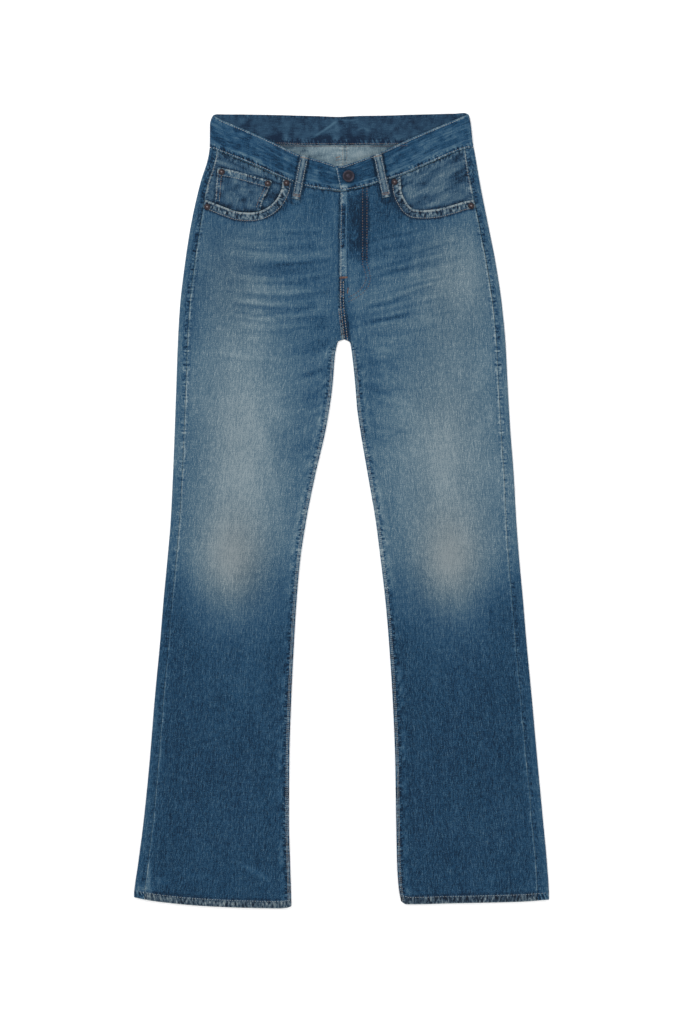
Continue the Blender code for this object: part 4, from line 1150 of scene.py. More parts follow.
def front_panel(side):
    """A front panel, its top edge along the pocket opening and then the waistband seam."""
    radius = PANEL_FOLD_RADIUS
    half_gap = math.degrees(SEAM_GAP / 2 / radius)
    strip = radius * math.radians(90 - half_gap)
    pocket_cells, seam_cells, strip_cells = 10, 6, 2
    flat_cells = pocket_cells + seam_cells
    nominal_width, nominal_depth = 215, 1035
    finer_to = 236

    across = graded(nominal_width, 1.4, 2.9, 14)[:-2] * flat_cells / nominal_width
    station = np.concatenate([across[across < flat_cells - 0.02], np.linspace(flat_cells, flat_cells + 2, 6)])
    station = station[:, None]
    top_rows = graded(250, 1.3, 1.9, 15)
    top_rows = top_rows[top_rows < finer_to - 2]
    low_rows = graded(nominal_depth - finer_to, 1.5, 2.7, 15)
    low_rows = low_rows[low_rows > 3] + finer_to
    rows = (np.concatenate([top_rows, [finer_to], low_rows]) / nominal_depth)[None, :]

    opening = rounded(POCKET_OPENINGS[side], 160)
    opening_share = np.linspace(0, 1, len(opening))
    corner_x = opening[-1][0]
    end_x = float(front_inner_x(side, FRONT_SEAM_DROP(front_inner_x(side, 115))))
    flat_end = end_x + side * strip
    top_x = np.where(
        station <= pocket_cells,
        np.interp(station / pocket_cells, opening_share, [p[0] for p in opening]),
        np.where(
            station <= flat_cells,
            lerp(corner_x, flat_end, (station - pocket_cells) / seam_cells),
            lerp(flat_end, end_x, (station - flat_cells) / strip_cells),
        ),
    )
    top_drop = np.where(
        station <= pocket_cells,
        np.interp(station / pocket_cells, opening_share, [p[1] for p in opening]),
        FRONT_SEAM_DROP(top_x) + SEAM_GAP,
    )

    def width(drop):
        turned = radius * curl(drop)
        edge = outseam_x(side, drop) - side * SEAM_GAP / 2
        flat = abs(front_inner_x(side, drop) - edge) - turned
        return edge, flat, flat + turned * math.radians(90 - half_gap), turned

    def low_share(drop):
        whole = width(drop)[2]
        flat = (whole - strip) / whole * station / flat_cells
        turned = 1 - strip / whole * (flat_cells + strip_cells - station) / strip_cells
        return np.where(station <= flat_cells, flat, turned)

    def x_at(share, drop):
        edge, flat, whole, turned = width(drop)
        reach = share * whole
        angle = (reach - flat) / np.maximum(turned, 0.01)
        return edge - side * np.where(reach <= flat, reach, flat + turned * np.sin(angle))

    top_edge, _, top_whole, _ = width(top_drop)
    top_share = abs(top_x - top_edge) / top_whole
    hem_drop = meet(HEM_DROP[side], lambda drop: x_at(low_share(drop), drop), 1140)
    drop = lerp(top_drop, hem_drop, rows)
    share = lerp(top_share, low_share(drop), smoothstep(0, 0.22, rows))
    edge, flat, whole, turned = width(drop)
    reach = share * whole
    level_x = edge - side * np.minimum(reach, flat)
    in_hem = falling(HEM_DEPTH - 0.3, HEM_DEPTH + 0.7, hem_drop - drop)
    wall = lerp(SHELL_WALL, HEM_SHELL_WALL, in_hem)
    seams = front_seams(side, level_x, drop)
    ridge = 0.25 * falling(HEM_DEPTH - 1, HEM_DEPTH + 1.5, hem_drop - drop)
    away = near(opening, level_x, drop)[0]
    ridge = ridge + 0.30 * falling(10, 12.5, away)
    height = front_height(side, level_x, drop) + relief(level_x, drop, seams, FRONT_CREASES) + ridge
    edge_away = np.minimum(to_edge(rows, nominal_depth), np.minimum(reach, 9))
    if side == LEFT:
        fly_away = np.where(drop < FLY_FADE_DROP, np.abs(level_x - front_inner_x(side, drop)), 9)
        edge_away = np.minimum(edge_away, fly_away)
    outer, inner = level_pair(level_x, drop, height, wall, edge_away)
    in_fold = (reach > flat + 1e-6) & (turned > 1e-3)
    angle = np.pi / 2 - (reach - flat) / np.maximum(turned, 0.01)
    for face, arc in ((outer, turned), (inner, np.maximum(turned - wall, 0))):
        bent = place_at(level_x - side * np.cos(angle) * arc, drop, height - turned + np.sin(angle) * arc)
        face[in_fold] = bent[in_fold]
    x = outer[..., 0] / MM
    rubbed = 0.35 * falling(11, 15, away)
    rubbed = rubbed + 0.60 * falling(8, 14, hem_drop - drop)
    grain = (x - GRAIN_X[side](drop) + side * 300, drop)
    sewn_wall(f"front_panel_{SIDE_NAMES[side]}", [f"back_panel_{SIDE_NAMES[side]}"],
              (outer, inner), grain, front_fade_and_shade(x, drop, seams), knee_grey(x, drop) + rubbed, seams)


def back_stations(flat_step):
    """Places across a back piece: part 0 is the inner strip, 1 the flat, 2 the fold, 3 the wrap."""
    flat = graded(160, 2, flat_step, 12)[3:-3] / 160
    wrap = np.concatenate([np.linspace(0, 1, 13)[:-1], [0.96, 0.985, 1]])
    parts = [(0, s) for s in (0, 0.25, 0.5, 0.75)]
    parts += [(1, 0)] + [(1, s) for s in flat]
    parts += [(2, n / 12) for n in range(12)]
    parts += [(3, s) for s in wrap]
    return np.array(parts).T[:, :, None]


def back_sheet(cut, side, stations, rows, top_line, bottom_line, seams_at, rests_on, has_hem=False):
    """A back piece, from its inner edge along the lower layer and round the outer fold to the outseam."""
    radius = PANEL_FOLD_RADIUS
    half_gap = math.degrees(SEAM_GAP / 2 / radius)
    strip = radius * math.radians(90 - half_gap)
    part, share = stations

    def x_of(drop):
        inner = back_inner_x(side, drop)
        outer = OUTER_X[side](drop) - side * radius
        wrap_end = outseam_x(side, drop) + side * SEAM_GAP / 2
        return np.select(
            [part == 0, part == 1, part == 2],
            [
                lerp(inner, inner + side * strip, share),
                lerp(inner + side * strip, outer, share),
                outer + side * radius * np.sin(np.pi * share),
            ],
            lerp(outer, wrap_end, share),
        )

    on_top = (part == 3) | ((part == 2) & (share > 0.5))
    top = meet(lambda x: top_line(x, on_top), x_of, 90)
    bottom = meet(lambda x: bottom_line(x, on_top), x_of, 1100)
    drop = lerp(top, bottom, rows)
    x = x_of(drop)
    seams = seams_at(x, drop, part)
    wall = SHELL_WALL
    if has_hem:
        in_hem = falling(HEM_DEPTH - 0.3, HEM_DEPTH + 0.7, bottom - drop)
        wall = lerp(SHELL_WALL, HEM_SHELL_WALL, in_hem)
    row_away = to_edge(rows, bottom - top)
    below = 0.16 * (1 + ripple(x / 26, drop / 40, 31))
    below = below + 0.3 * seams.pucker * (0.5 + 0.5 * seams.wave())
    floor = lift(x, drop) + SOLE_GAP
    floor = floor + np.minimum(below, 0.3) * smoothstep(0, 0.3, lift(x, drop))
    inner_edge = np.where(part == 0, share * strip, 9)
    drawn = softened(np.minimum(row_away, np.where(drop < CROTCH_DROP, inner_edge, 9)), wall)
    outer, inner = place_at(x, drop, floor + drawn), place_at(x, drop, floor + wall - drawn)

    turned = radius * curl(drop)
    start = back_inner_x(side, drop)
    angle = -half_gap - (90 - half_gap) * share * radius / np.maximum(turned, 0.01)
    in_strip = (part == 0) & (turned > strip * share) & (angle > -90)
    centre_x = start + side * turned
    angle = np.radians(angle)
    for face, arc in ((outer, turned), (inner, np.maximum(turned - wall, 0))):
        lower = np.maximum(arc - SOLE_GAP, 0) if face is outer else arc
        z = lift(x, drop) + turned + np.sin(angle) * lower
        bent = place_at(centre_x - side * np.cos(angle) * arc, drop, z)
        face[in_strip] = bent[in_strip]

    edge = OUTER_X[side](drop) - side * radius
    turn = np.radians(-90 + 180 * share)
    base = lift(edge, drop) + radius
    in_fold = np.broadcast_to(part == 2, drop.shape)
    for face, arc in ((outer, radius), (inner, radius - wall)):
        squeezed = np.where(np.sin(turn) < 0, arc - SOLE_GAP, arc)
        bent = place_at(edge + side * np.cos(turn) * arc, drop, base + np.sin(turn) * squeezed)
        face[in_fold] = bent[in_fold]

    upper_wall = lerp(PANEL_WALL, HEM_WALL, hem_share(x, drop))
    rise = relief(x, drop, seams, FRONT_CREASES) * smoothstep(0, 0.35, share)
    height = upper_height(x, drop, upper_wall, 2 * radius) + rise
    wrap_width = np.abs(outseam_x(side, drop) - edge)
    outer_top, inner_top = level_pair(x, drop, height, wall, np.minimum(row_away, (1 - share) * wrap_width))
    in_wrap = np.broadcast_to(part == 3, drop.shape)
    outer[in_wrap] = outer_top[in_wrap]
    inner[in_wrap] = inner_top[in_wrap]

    above = np.broadcast_to(on_top, drop.shape)
    hidden_fade_and_shade = front_fade_and_shade(x, drop, seams, BACK_CREASES, BACK_FADES)
    fade_and_shade = np.where(above, front_fade_and_shade(x, drop, seams), hidden_fade_and_shade)
    # Painted shade on the wrap beside the outseam, patchy and strongest at the hip.
    outseam_shade_strip = above * falling(5, 9, np.abs(x - outseam_x(side, drop)))
    hip = falling(250, 520, drop)
    fade_and_shade = fade_and_shade - outseam_shade_strip * (0.04 + 0.16 * hip + (0.04 + 0.12 * hip) * ripple(drop / 8, x / 9, 93))
    inside_waist = 0 if has_hem else (part < 2) * yoke_reverse(x, drop)
    run = np.where(np.broadcast_to(part == 3, drop.shape), 2 * edge - x, x) - GRAIN_X[side](drop)
    sewn_wall(f"{cut}_{SIDE_NAMES[side]}", rests_on, (outer, inner), (run + side * 900, drop), fade_and_shade,
              0.4 * knee_grey(x, drop), seams, reverse_fade_and_shade=fade_and_shade + inside_waist)


def yoke_reverse(x, drop):
    """The yoke's wrong side, which shows inside the waist: pale seam ridges, painted shade between them,
    towards the sides and under the band's edge, and soft creases.
    """
    from_middle = x - CENTRE_BACK_X
    ridges = 0.45 * bell(from_middle - 5.5, 1.2)
    ridges = ridges + 0.25 * bell(from_middle + 1.5, 1)
    # Painted shade in the hollow between the seam ridges.
    hollow_shade = -0.18 * bell(from_middle - 2, 2)
    # Painted shade towards the sides of the waist opening and under the back band's edge.
    shade = -0.28 * smoothstep(30, 90, abs(from_middle))
    shade = shade - 0.30 * bell(drop - 46.5, 3)
    soft = 0.22 * ripple(x / 26, (drop + 0.15 * x) / 3.6, 98) + 0.16 * ripple(x / 9, drop / 7, 99)
    return 0.13 + ridges + hollow_shade + shade + soft


def back_seams(side, x, drop, part, outseam_pucker):
    """The seams that the yoke and the back panel have alike."""
    seams = Seams(x, drop)
    from_outseam = np.where(part == 3, x - outseam_x(side, drop), ELSEWHERE)
    from_inner = np.where(part < 2, x - back_inner_x(side, drop), ELSEWHERE)
    seams.add(from_outseam, drop + OUTSEAM_START, 7, outseam_pucker, 0.10, 1.2)
    seams.add(drop - YOKE_SEAM_DROP(x), x + TOP_SEAM_START, 12, 0.8, 0.15)
    return seams.add(from_inner, drop + INNER_START, 9, 0.7)


def back_panel(side):
    """A back panel, which wraps round the outer fold to the outseam."""
    rows = graded_shares(1035, 1.5, 2.8, 15, True)

    def top_line(x, on_top):
        return YOKE_SEAM_DROP(x) + SEAM_GAP / 2

    def bottom_line(x, on_top):
        return HEM_DROP[side](x) - np.where(on_top, 0, BACK_HEM_INSET)

    def seams_at(x, drop, part):
        low = smoothstep(CROTCH_DROP, CROTCH_DROP + 12, drop)
        seams = back_seams(side, x, drop, part, 0.30 + 0.35 * falling(380, 760, drop))
        seams.add(HEM_DROP[side](x) - drop, x + HEM_START, 14, 1, 0.30, 2)
        seams.rim = seams.rim * lerp(1, low, part == 0)
        return seams

    back_sheet("back_panel", side, back_stations(6.5), rows, top_line, bottom_line, seams_at,
               [f"back_pocket_{SIDE_NAMES[side]}"], has_hem=True)


def yoke(side):
    """The shaped piece between the waistband and the back panel."""
    rows = graded_shares(52, 1.6, 1.9, 8, True)

    def top_line(x, on_top):
        return np.where(on_top, FRONT_SEAM_DROP(x), BACK_SEAM_DROP(x)) + SEAM_GAP

    def bottom_line(x, on_top):
        return YOKE_SEAM_DROP(x) - SEAM_GAP / 2

    def seams_at(x, drop, part):
        seams = back_seams(side, x, drop, part, 0.65)
        return seams.add(drop - BACK_SEAM_DROP(x), x + YOKE_TOP_START, 10, 0.2, 0.05)

    back_sheet("yoke", side, back_stations(2.2), rows, top_line, bottom_line, seams_at, ["waistband"])


def pocket_facing(side):
    """The cloth that shows in a hip pocket opening and reaches a little way under the front panel."""
    width, depth = 112, 80
    across = graded_shares(width, 1.5, 1.7, 6)
    level = graded_shares(depth, 1.5, 1.7, 6, True)
    opening = rounded(POCKET_OPENINGS[side], 100)
    keep = opening[: int(100 * FACING_END_SHARE) + 1]
    border = []
    for a, b in zip(keep, keep[1:]):
        length = math.dist(a, b)
        away = (side * (b[1] - a[1]) / length, -side * (b[0] - a[0]) / length)
        border.append((a[0] + away[0] * FACING_BORDER, a[1] + away[1] * FACING_BORDER))
    bottom = spread(border, 10)
    bottom_x = np.interp(across, np.linspace(0, 1, 11), [p[0] for p in bottom])
    bottom_drop = np.interp(across, np.linspace(0, 1, 11), [p[1] for p in bottom])
    start_x = float(outseam_x(side, FRONT_SEAM_DROP(outseam_x(side, 58))))
    top_x = lerp(start_x, bottom[-1][0], across)
    x = lerp(top_x, bottom_x, level)
    drop = lerp(FRONT_SEAM_DROP(top_x) + SEAM_GAP, bottom_drop, level)
    seam_x = outseam_x(side, drop) - side * SEAM_GAP / 2
    x = x + (seam_x - lerp(start_x, bottom[0][0], level)) * (1 - across)
    seams = Seams(x, drop)
    away = near(opening, x, drop)[0]
    seams.add(drop - FRONT_SEAM_DROP(x), x + TOP_SEAM_START, 9, 0.6, 0.12, 2)
    seams.add(x - outseam_x(side, drop), drop + OUTSEAM_START, 7, 0.7, 0.45, 2)
    bulge = 0.35 * ripple(x / 17, drop / 14, 41)
    height = facing_height(x, drop) + 0.5 * relief(x, drop, seams, ()) + bulge * smoothstep(2, 12, away)
    edge_away = np.minimum(to_edge(level, depth), to_edge(across, width))
    faces = level_pair(x, drop, height, SHELL_WALL, edge_away)
    # Painted shadow of the waistband's edge and of the front panel's edge along the opening.
    seams.shade_and_wear_line(drop - FRONT_SEAM_DROP(x), 0, 2.4, 0.30).shade_and_wear_line(away, 0, 4.5, 0.30)
    if side == RIGHT:
        outline = [(x_at, at) for at, x_at in reversed(COIN_OUTER)] + list(COIN_TOP[1:-1])
        outline = outline + [(x_at, at) for at, x_at in COIN_INNER]
        # Painted shadow of the coin pocket's edges on the facing.
        seams.shade_and_wear_line(near(outline, x, drop)[0], 0, 2.8, 0.26)
    slope = drop + 0.45 * abs(x)
    shade = 0.30 + 0.24 * ripple(x / 24, slope / 6, 42) + 0.14 * ripple(x / 11, slope / 3, 43)
    shade = shade + (0.06 if side == LEFT else -0.02) + seams.wear_and_shade()
    sewn_wall(f"pocket_facing_{SIDE_NAMES[side]}", [f"yoke_{SIDE_NAMES[side]}"], faces,
              (x + side * 300, drop + 2000), shade, 0.22, seams)


def coin_lines():
    opening = rounded(POCKET_OPENINGS[RIGHT], 60)
    return smooth_line(COIN_TOP), smooth_line(COIN_OUTER), smooth_line(COIN_INNER), smooth_line(opening)


def coin_pocket():
    """The small pocket on the right facing. Its lower end goes under the pocket opening's edge."""
    width, depth = 78, 48
    across = graded_shares(width, 1.2, 1.5, 6)
    level = graded_shares(depth, 1.2, 1.4, 6, True)
    top_at, outer_at, inner_at, opening_at = coin_lines()

    def x_at(drop):
        return lerp(outer_at(drop), inner_at(drop), across)

    top = meet(top_at, x_at, 88)
    bottom = meet(opening_at, x_at, 140) - COIN_CLEARANCE
    drop = lerp(top, bottom, level)
    x = x_at(drop)
    wide = to_edge(across, width)
    seams = Seams(x, drop)
    seams.add(drop - top, x + COIN_TOP_START, 11, 1, 0.30, 1.6)
    seams.add(wide, drop + COIN_SIDE_START, 7, 0.8, 0.30, 1.6)
    hem = 0.25 * falling(10, 11.5, drop - top)
    height = facing_height(x, drop) + SEAM_GAP + PANEL_WALL + 0.6 * relief(x, drop, seams, ()) + hem
    faces = level_pair(x, drop, height, SHELL_WALL, np.minimum(to_edge(level, depth), wide))
    # Painted shade along the hem's stitch row and the sides' stitch rows, and painted shadow of the opening's
    # edge over the pocket's lower end.
    seams.shade_and_wear_line(drop - top, 11.4, 1.4, 0.26).shade_and_wear_line(bottom - drop, 0, 4.5, 0.30)
    seams.shade_and_wear_line(wide, 7.6, 1.2, 0.20)
    shade = 0.30 + 0.20 * ripple(x / 11, drop / 9, 51) + 0.14 * ripple(x / 5, drop / 4, 52)
    shade = shade + seams.wear_and_shade() + 0.10 * falling(9, 11.5, drop - top)
    sewn_wall("coin_pocket", ["pocket_facing_right"], faces, (x - 1500, drop), shade, 0.22,
              seams)


def waistband():
    """One doubled strip, from the left end over the front, round the back, to the hidden right end."""
    radius = BAND_FOLD_RADIUS
    levels = graded_shares(BAND_HEIGHT, 1.2, 1.3, 7, True)
    front = graded_shares(BAND_FRONT_RUN, 1.3, 1.35, 6)
    back = np.linspace(0, 1, round(250 / fineness()))[:, None]
    fold = np.linspace(0, 1, 13)[1:-1][:, None]

    def fold_x(side, drop):
        return OUTER_X[side](drop) - side * radius

    def front_x(side, share, level, drop):
        """share runs from the fold to the band's end, level from its top edge to its seam."""
        ends = BAND_END_LEFT if side == LEFT else BAND_END_RIGHT
        return lerp(fold_x(side, drop), lerp(*ends, level), share)

    def front_lines(side, x):
        inset = HIDDEN_END_INSET * smoothstep(-16, -8, x) if side == RIGHT else 0
        return FRONT_TOP_DROP(x) + inset, FRONT_SEAM_DROP(x) - inset

    def front_part(side):
        share = 1 - front if side == LEFT else front
        top, low = (
            meet(lambda x: front_lines(side, x)[line], lambda d: front_x(side, share, line, d), 60)
            for line in (0, 1)
        )
        drop = lerp(top, low, levels)
        x = front_x(side, share, levels, drop)
        seams = Seams(x, drop)
        seams.add(levels * BAND_HEIGHT, x + BAND_TOP_START, 5, 0.40, 0.46, 1.8)
        seams.add((1 - levels) * BAND_HEIGHT, x + BAND_LOW_START, 9, 0.70, 0.34, 2)
        seams.add((1 - share) * BAND_FRONT_RUN, drop + BAND_END_START, 5, 0.6, 0.30, 1.8)
        height = band_front_height(x, drop, side == LEFT) + band_relief(x, levels * BAND_HEIGHT, seams)
        edge_away = np.minimum(to_edge(levels, BAND_HEIGHT), (1 - share) * BAND_FRONT_RUN)
        outer, inner = level_pair(x, drop, height, BAND_SHELL_WALL, edge_away)
        return outer, inner, x, drop, seams, np.ones(drop.shape)

    def fold_part(side):
        share = fold if side == LEFT else 1 - fold
        at = side * 187
        top = lerp(FRONT_TOP_DROP(at), BACK_TOP_DROP(at), share)
        drop = lerp(top, BACK_SEAM_DROP(at), levels)
        seams = Seams(share, drop)
        along = share * 10 + side * 200 + BAND_TOP_START
        seams.add(levels * BAND_HEIGHT, along, 9, 0.75, 0.3, 1.8)
        centre_x = fold_x(side, drop)
        centre_z = lift(centre_x, drop) + radius
        turn = np.radians(90 - 180 * share)
        drawn = softened(to_edge(levels, BAND_HEIGHT), BAND_SHELL_WALL)
        faces = []
        for arc in (radius - drawn, radius - BAND_SHELL_WALL + drawn):
            squeezed = np.where(np.sin(turn) < 0, arc - SOLE_GAP, arc)
            turned_x = centre_x + side * np.cos(turn) * arc
            faces.append(place_at(turned_x, drop, centre_z + np.sin(turn) * squeezed))
        x = faces[0][..., 0] / MM
        return faces[0], faces[1], x, drop, seams, (share < 0.5) * np.ones(drop.shape)

    def back_part():
        def back_x(drop):
            return lerp(fold_x(LEFT, drop), fold_x(RIGHT, drop), back)

        top = meet(BACK_TOP_DROP, back_x, 4)
        low = meet(BACK_SEAM_DROP, back_x, 47)
        drop = lerp(top, low, levels)
        x = back_x(drop)
        seams = Seams(x, drop)
        seams.add(levels * BAND_HEIGHT, x + BAND_TOP_START, 5, 0.5, 0.08, 1.4)
        seams.add((1 - levels) * BAND_HEIGHT, x + BAND_LOW_START, 11, 1, 0.30, 1.6)
        drawn = softened(to_edge(levels, BAND_HEIGHT), BAND_SHELL_WALL)
        floor = lift(x, drop) + SOLE_GAP
        inside = floor + BAND_SHELL_WALL + 0.6 * band_relief(x, levels * BAND_HEIGHT, seams)
        return place_at(x, drop, floor + drawn), place_at(x, drop, inside - drawn), x, drop, seams, 0 * drop

    parts = [front_part(LEFT), fold_part(LEFT), back_part(), fold_part(RIGHT), front_part(RIGHT)]
    joined = [np.concatenate([part[n] for part in parts]) for n in (0, 1, 2, 3, 5)]
    outer, inner, x, drop, in_front = joined
    seams = Seams(x, drop)
    for key in ("away", "along", "pucker", "rim"):
        setattr(seams, key, np.concatenate([getattr(part[4], key) for part in parts]))
    level = np.broadcast_to(levels * BAND_HEIGHT, drop.shape)
    blotch = 0.12 * ripple(x / 9, level / 9, 61) + 0.08 * ripple(x / 4.5, level / 7, 62)
    low = bell(level - 37, 5)
    crest = 0.12 * low + 0.14 * bell(level - 35 - 1.5 * ripple(x / 40, 0, 71), 1.2)
    lean = np.where(x < CENTRE_BACK_X, 1, -1) * level * 1.1
    scratch = 0.18 * ripple((x + lean) / 16, (level - lean * 0.25) / 1.7, 63)
    squares = 0.30 * bell(level - 34, 5) * ripple(x / 8, 0, 64)
    inside = 0.28 + 1.6 * blotch - 0.12 * low + squares + along_creases(BAND_INSIDE_CREASES, x, drop, 3)
    # Painted shade along the back band's top edge and beside the lower stitch row.
    seams.shade_and_wear_line(level, 0, 1.2, 0.10 * (1 - in_front)).shade_and_wear_line(BAND_HEIGHT - level, 3.8, 1.2, 0.22)
    corner = 0.52 * np.exp(-(((x - 3) / 7.5) ** 2) - ((drop - 108.5) / 5) ** 2)
    beside_button = 0.05 * smoothstep(60, 100, x) - 0.09 * bell(x - 34, 44)
    worn = 0.19 + 1.1 * blotch + crest + scratch + corner + beside_button
    # Painted shadow in a ring round the button; the belt loops' painted shadow darkens the band as well.
    button_shadow = bell(np.hypot(x - BUTTON_PLACE[0], drop - BUTTON_PLACE[1]) - 9.5, 2.2)
    worn = np.maximum(worn - 0.20 * button_shadow, 0.10) - loop_shadow(x, drop)
    materials = (
        denim("waistband_indigo", worn_stops(), streak=0.7),
        denim("waistband_lining", band_inside_stops(), streak=0.9),
    )
    sewn_wall("waistband", ["yoke_right", "yoke_left"], (outer, inner),
              (level + 500, x + 1200 * in_front), worn + seams.wear_and_shade(), 0, seams, materials,
              inside + seams.wear_and_shade())


def band_relief(x, level, seams):
    """The band's crown between its two seams, its puckers and the faint crease above the lower seam."""
    crown = 0.35 * np.sin(np.pi * np.clip(level / BAND_HEIGHT, 0, 1)) - 0.15
    crease = 0.25 * bell(level - 36 - 1.5 * ripple(x / 40, 0, 71), 2.6)
    uneven = 0.18 * ripple(x / 14, level / 16, 72)
    return crown + crease + uneven + 0.8 * sizes().pucker_height / MM * seams.wave()


def flat_pair(x, drop, wall, edge_away):
    """The outer and the inner face of a piece that lies flat under the back."""
    drawn = softened(edge_away, wall - SOLE_GAP)
    return place_at(x, drop, SOLE_GAP + drawn), place_at(x, drop, wall - drawn)


def back_pocket(side):
    """A plain patch pocket with a blunt point, hidden under the back panel."""
    depth_run = 150
    across = graded_shares(2 * BACK_POCKET_TOP_HALF_WIDTH, 1.6, 3.4, 8)
    level = graded_shares(depth_run, 1.6, 3.4, 8, True)
    wide = 2 * across - 1
    half = lerp(BACK_POCKET_TOP_HALF_WIDTH, BACK_POCKET_BOTTOM_HALF_WIDTH, level)
    depth = lerp(BACK_POCKET_POINT_DEPTH, BACK_POCKET_SIDE_DEPTH, abs(wide))
    x = CENTRE_BACK_X + side * BACK_POCKET_CENTRE + wide * half
    drop = BACK_POCKET_TOP_DROP + depth * level
    seams = Seams(x, drop)
    edge = np.minimum(1 - abs(wide), 0.2) * half
    seams.add(edge, drop + PATCH_SIDE_START, 8, 0.9, 0.5, 2)
    seams.add((1 - level) * depth_run, x + PATCH_LOW_START, 8, 0.9, 0.5, 2)
    seams.add(level * depth_run, x + PATCH_TOP_START, 24, 0.8, 0.5, 2)
    shade = 0.50 + 0.22 * np.exp(-((wide / 0.5) ** 2) - ((level - 0.45) / 0.35) ** 2) + 0.24 * seams.wave()
    shade = shade + 0.06 * ripple(x / 26, drop / 30, 81)
    faces = flat_pair(x, drop, BACK_POCKET_WALL, np.minimum(to_edge(level, depth_run), edge))
    sewn_wall(f"back_pocket_{SIDE_NAMES[side]}", [f"back_panel_{SIDE_NAMES[side]}"], faces,
              (x + side * 2300, drop), shade, 0.2, seams)


def loop_shade(across, level, length, seed):
    """A belt loop is pale along its middle and at its folded ends, dark beside its two edges."""
    middle = bell(across - 0.5, 0.22)
    ends = bell(to_edge(level, length), 5)
    return 0.12 + 0.56 * middle + 0.34 * ends + 0.14 * ripple(across * 3, level * length / 4, seed)


def back_loop(name, offset_x):
    """A flat belt loop under the back of the waistband."""
    width, length = 2 * BACK_LOOP_HALF_WIDTH, BACK_LOOP_BOTTOM_DROP - BACK_LOOP_TOP_DROP
    across = graded_shares(width, 1.2, 1.5, 3)
    level = graded_shares(length, 1.2, 1.6, 4, True)
    x = CENTRE_BACK_X + offset_x + (2 * across - 1) * BACK_LOOP_HALF_WIDTH
    drop = lerp(BACK_LOOP_TOP_DROP, BACK_LOOP_BOTTOM_DROP, level)
    seams = Seams(x, drop)
    seams.add(to_edge(across, width), drop + PATCH_SIDE_START, 4, 0.7, 0.3)
    faces = flat_pair(x, drop, BACK_LOOP_WALL, np.minimum(to_edge(across, width), to_edge(level, length)))
    shade = loop_shade(across, level, length, offset_x) + 0.2 * seams.wave()
    sewn_wall(f"belt_loop_{name}", ["waistband"], faces, (x + 3300, drop), shade, 0.3, seams)


def highest(side, x, drop, reach):
    """The highest cloth of the upper layer round each place, whichever piece it belongs to."""
    best = blank(x, drop)
    for step_x in (-1, 0, 1):
        for step_drop in (-1, 0, 1):
            at_x, at_drop = x + step_x * reach, drop + step_drop * reach
            best = np.maximum(best, front_height(side, at_x, at_drop))
            band = band_front_height(at_x, at_drop, side == LEFT)
            best = np.where(at_drop < FRONT_SEAM_DROP(at_x) + 1, np.maximum(best, band), best)
    return best


def loop_run(top_x, top_drop, low_x, low_drop):
    """The length of a front belt loop, and its direction in x and drop."""
    length = math.dist((top_x, top_drop), (low_x, low_drop))
    return length, ((low_x - top_x) / length, (low_drop - top_drop) / length)


def front_loop(name, top_x, top_drop, low_x, low_drop):
    """A belt loop over the waistband, arched clear of it, its ends folded under and tacked."""
    side = RIGHT if top_x < CENTRE_BACK_X else LEFT
    length, along = loop_run(top_x, top_drop, low_x, low_drop)
    across = graded_shares(FRONT_LOOP_WIDTH, 0.8, 0.8, 3)
    level = graded_shares(length, 0.9, 1.1, 6, True)
    middle_x, middle_drop = lerp(top_x, low_x, level), lerp(top_drop, low_drop, level)
    sway = 0.35 * ripple(level * length / 14, 0, top_x)
    aside = (across - 0.5) * FRONT_LOOP_WIDTH + sway
    x, drop = middle_x + along[1] * aside, middle_drop - along[0] * aside
    under = highest(side, middle_x, middle_drop, 7) + SEAM_GAP + FRONT_LOOP_ARCH * np.sin(np.pi * level)
    wide, deep = to_edge(across, FRONT_LOOP_WIDTH), to_edge(level, length)
    seams = Seams(x, drop)
    seams.add(wide, level * length + side * 300, 4.2, 0.9, 0.25, 1.2)
    fold = 0.35 * falling(6.5, 8, deep)
    rolled = 0.35 * bell(wide - 2.6, 1.3) + 0.20 * smoothstep(2, 5, wide)
    top = under + FRONT_LOOP_WALL + rolled + fold + 0.25 * seams.wave()
    drawn = softened(np.minimum(wide, deep), FRONT_LOOP_WALL)
    outer = place_at(x, drop, top - drawn - 0.5 * falling(0, 1.4, wide))
    shade = loop_shade(across, level, length, top_x) + 0.25 * seams.wave()
    sewn_wall(f"belt_loop_{name}", ["waistband"], (outer, place_at(x, drop, under + drawn)),
              (aside + 3600 + side * 60, level * length), shade, 0.35, seams)


def worn_metal(name, dark, bright, seed):
    """Aged copper: darker in its hollows, brighter and browner towards its top, which is partly rubbed metal
    and partly a painted highlight.
    """
    material, tree, shader = new_material(name, 0.42, metallic=0.85, specular=0.5)
    place = add_node(tree, "TexCoord").outputs["Object"]
    spots = noise(tree, place, (0.0016, 0.0016, 0.0016), 4, distortion=0.3)
    fine = noise(tree, place, (0.0004, 0.0004, 0.0004), 2)
    rubbed = attribute(tree, "rubbed")
    mix = maths(tree, "MULTIPLY_ADD", spots, 0.7, maths(tree, "MULTIPLY", rubbed, 0.7))
    mix = maths(tree, "SUBTRACT", mix, seed, clamp=True)
    colour = ramp(tree, mix, ((0, dark), (0.55, lerp_colour(dark, bright, 0.2)), (1, bright)))
    tree.links.new(colour, shader.inputs["Base Color"])
    rough = maths(tree, "MULTIPLY_ADD", fine, 0.3, 0.3)
    tree.links.new(rough, shader.inputs["Roughness"])
    raise_surface(tree, shader, fine, 0.3, 0.0001)
    return material


def lerp_colour(a, b, t):
    return tuple(lerp(x, y, t) for x, y in zip(a, b))


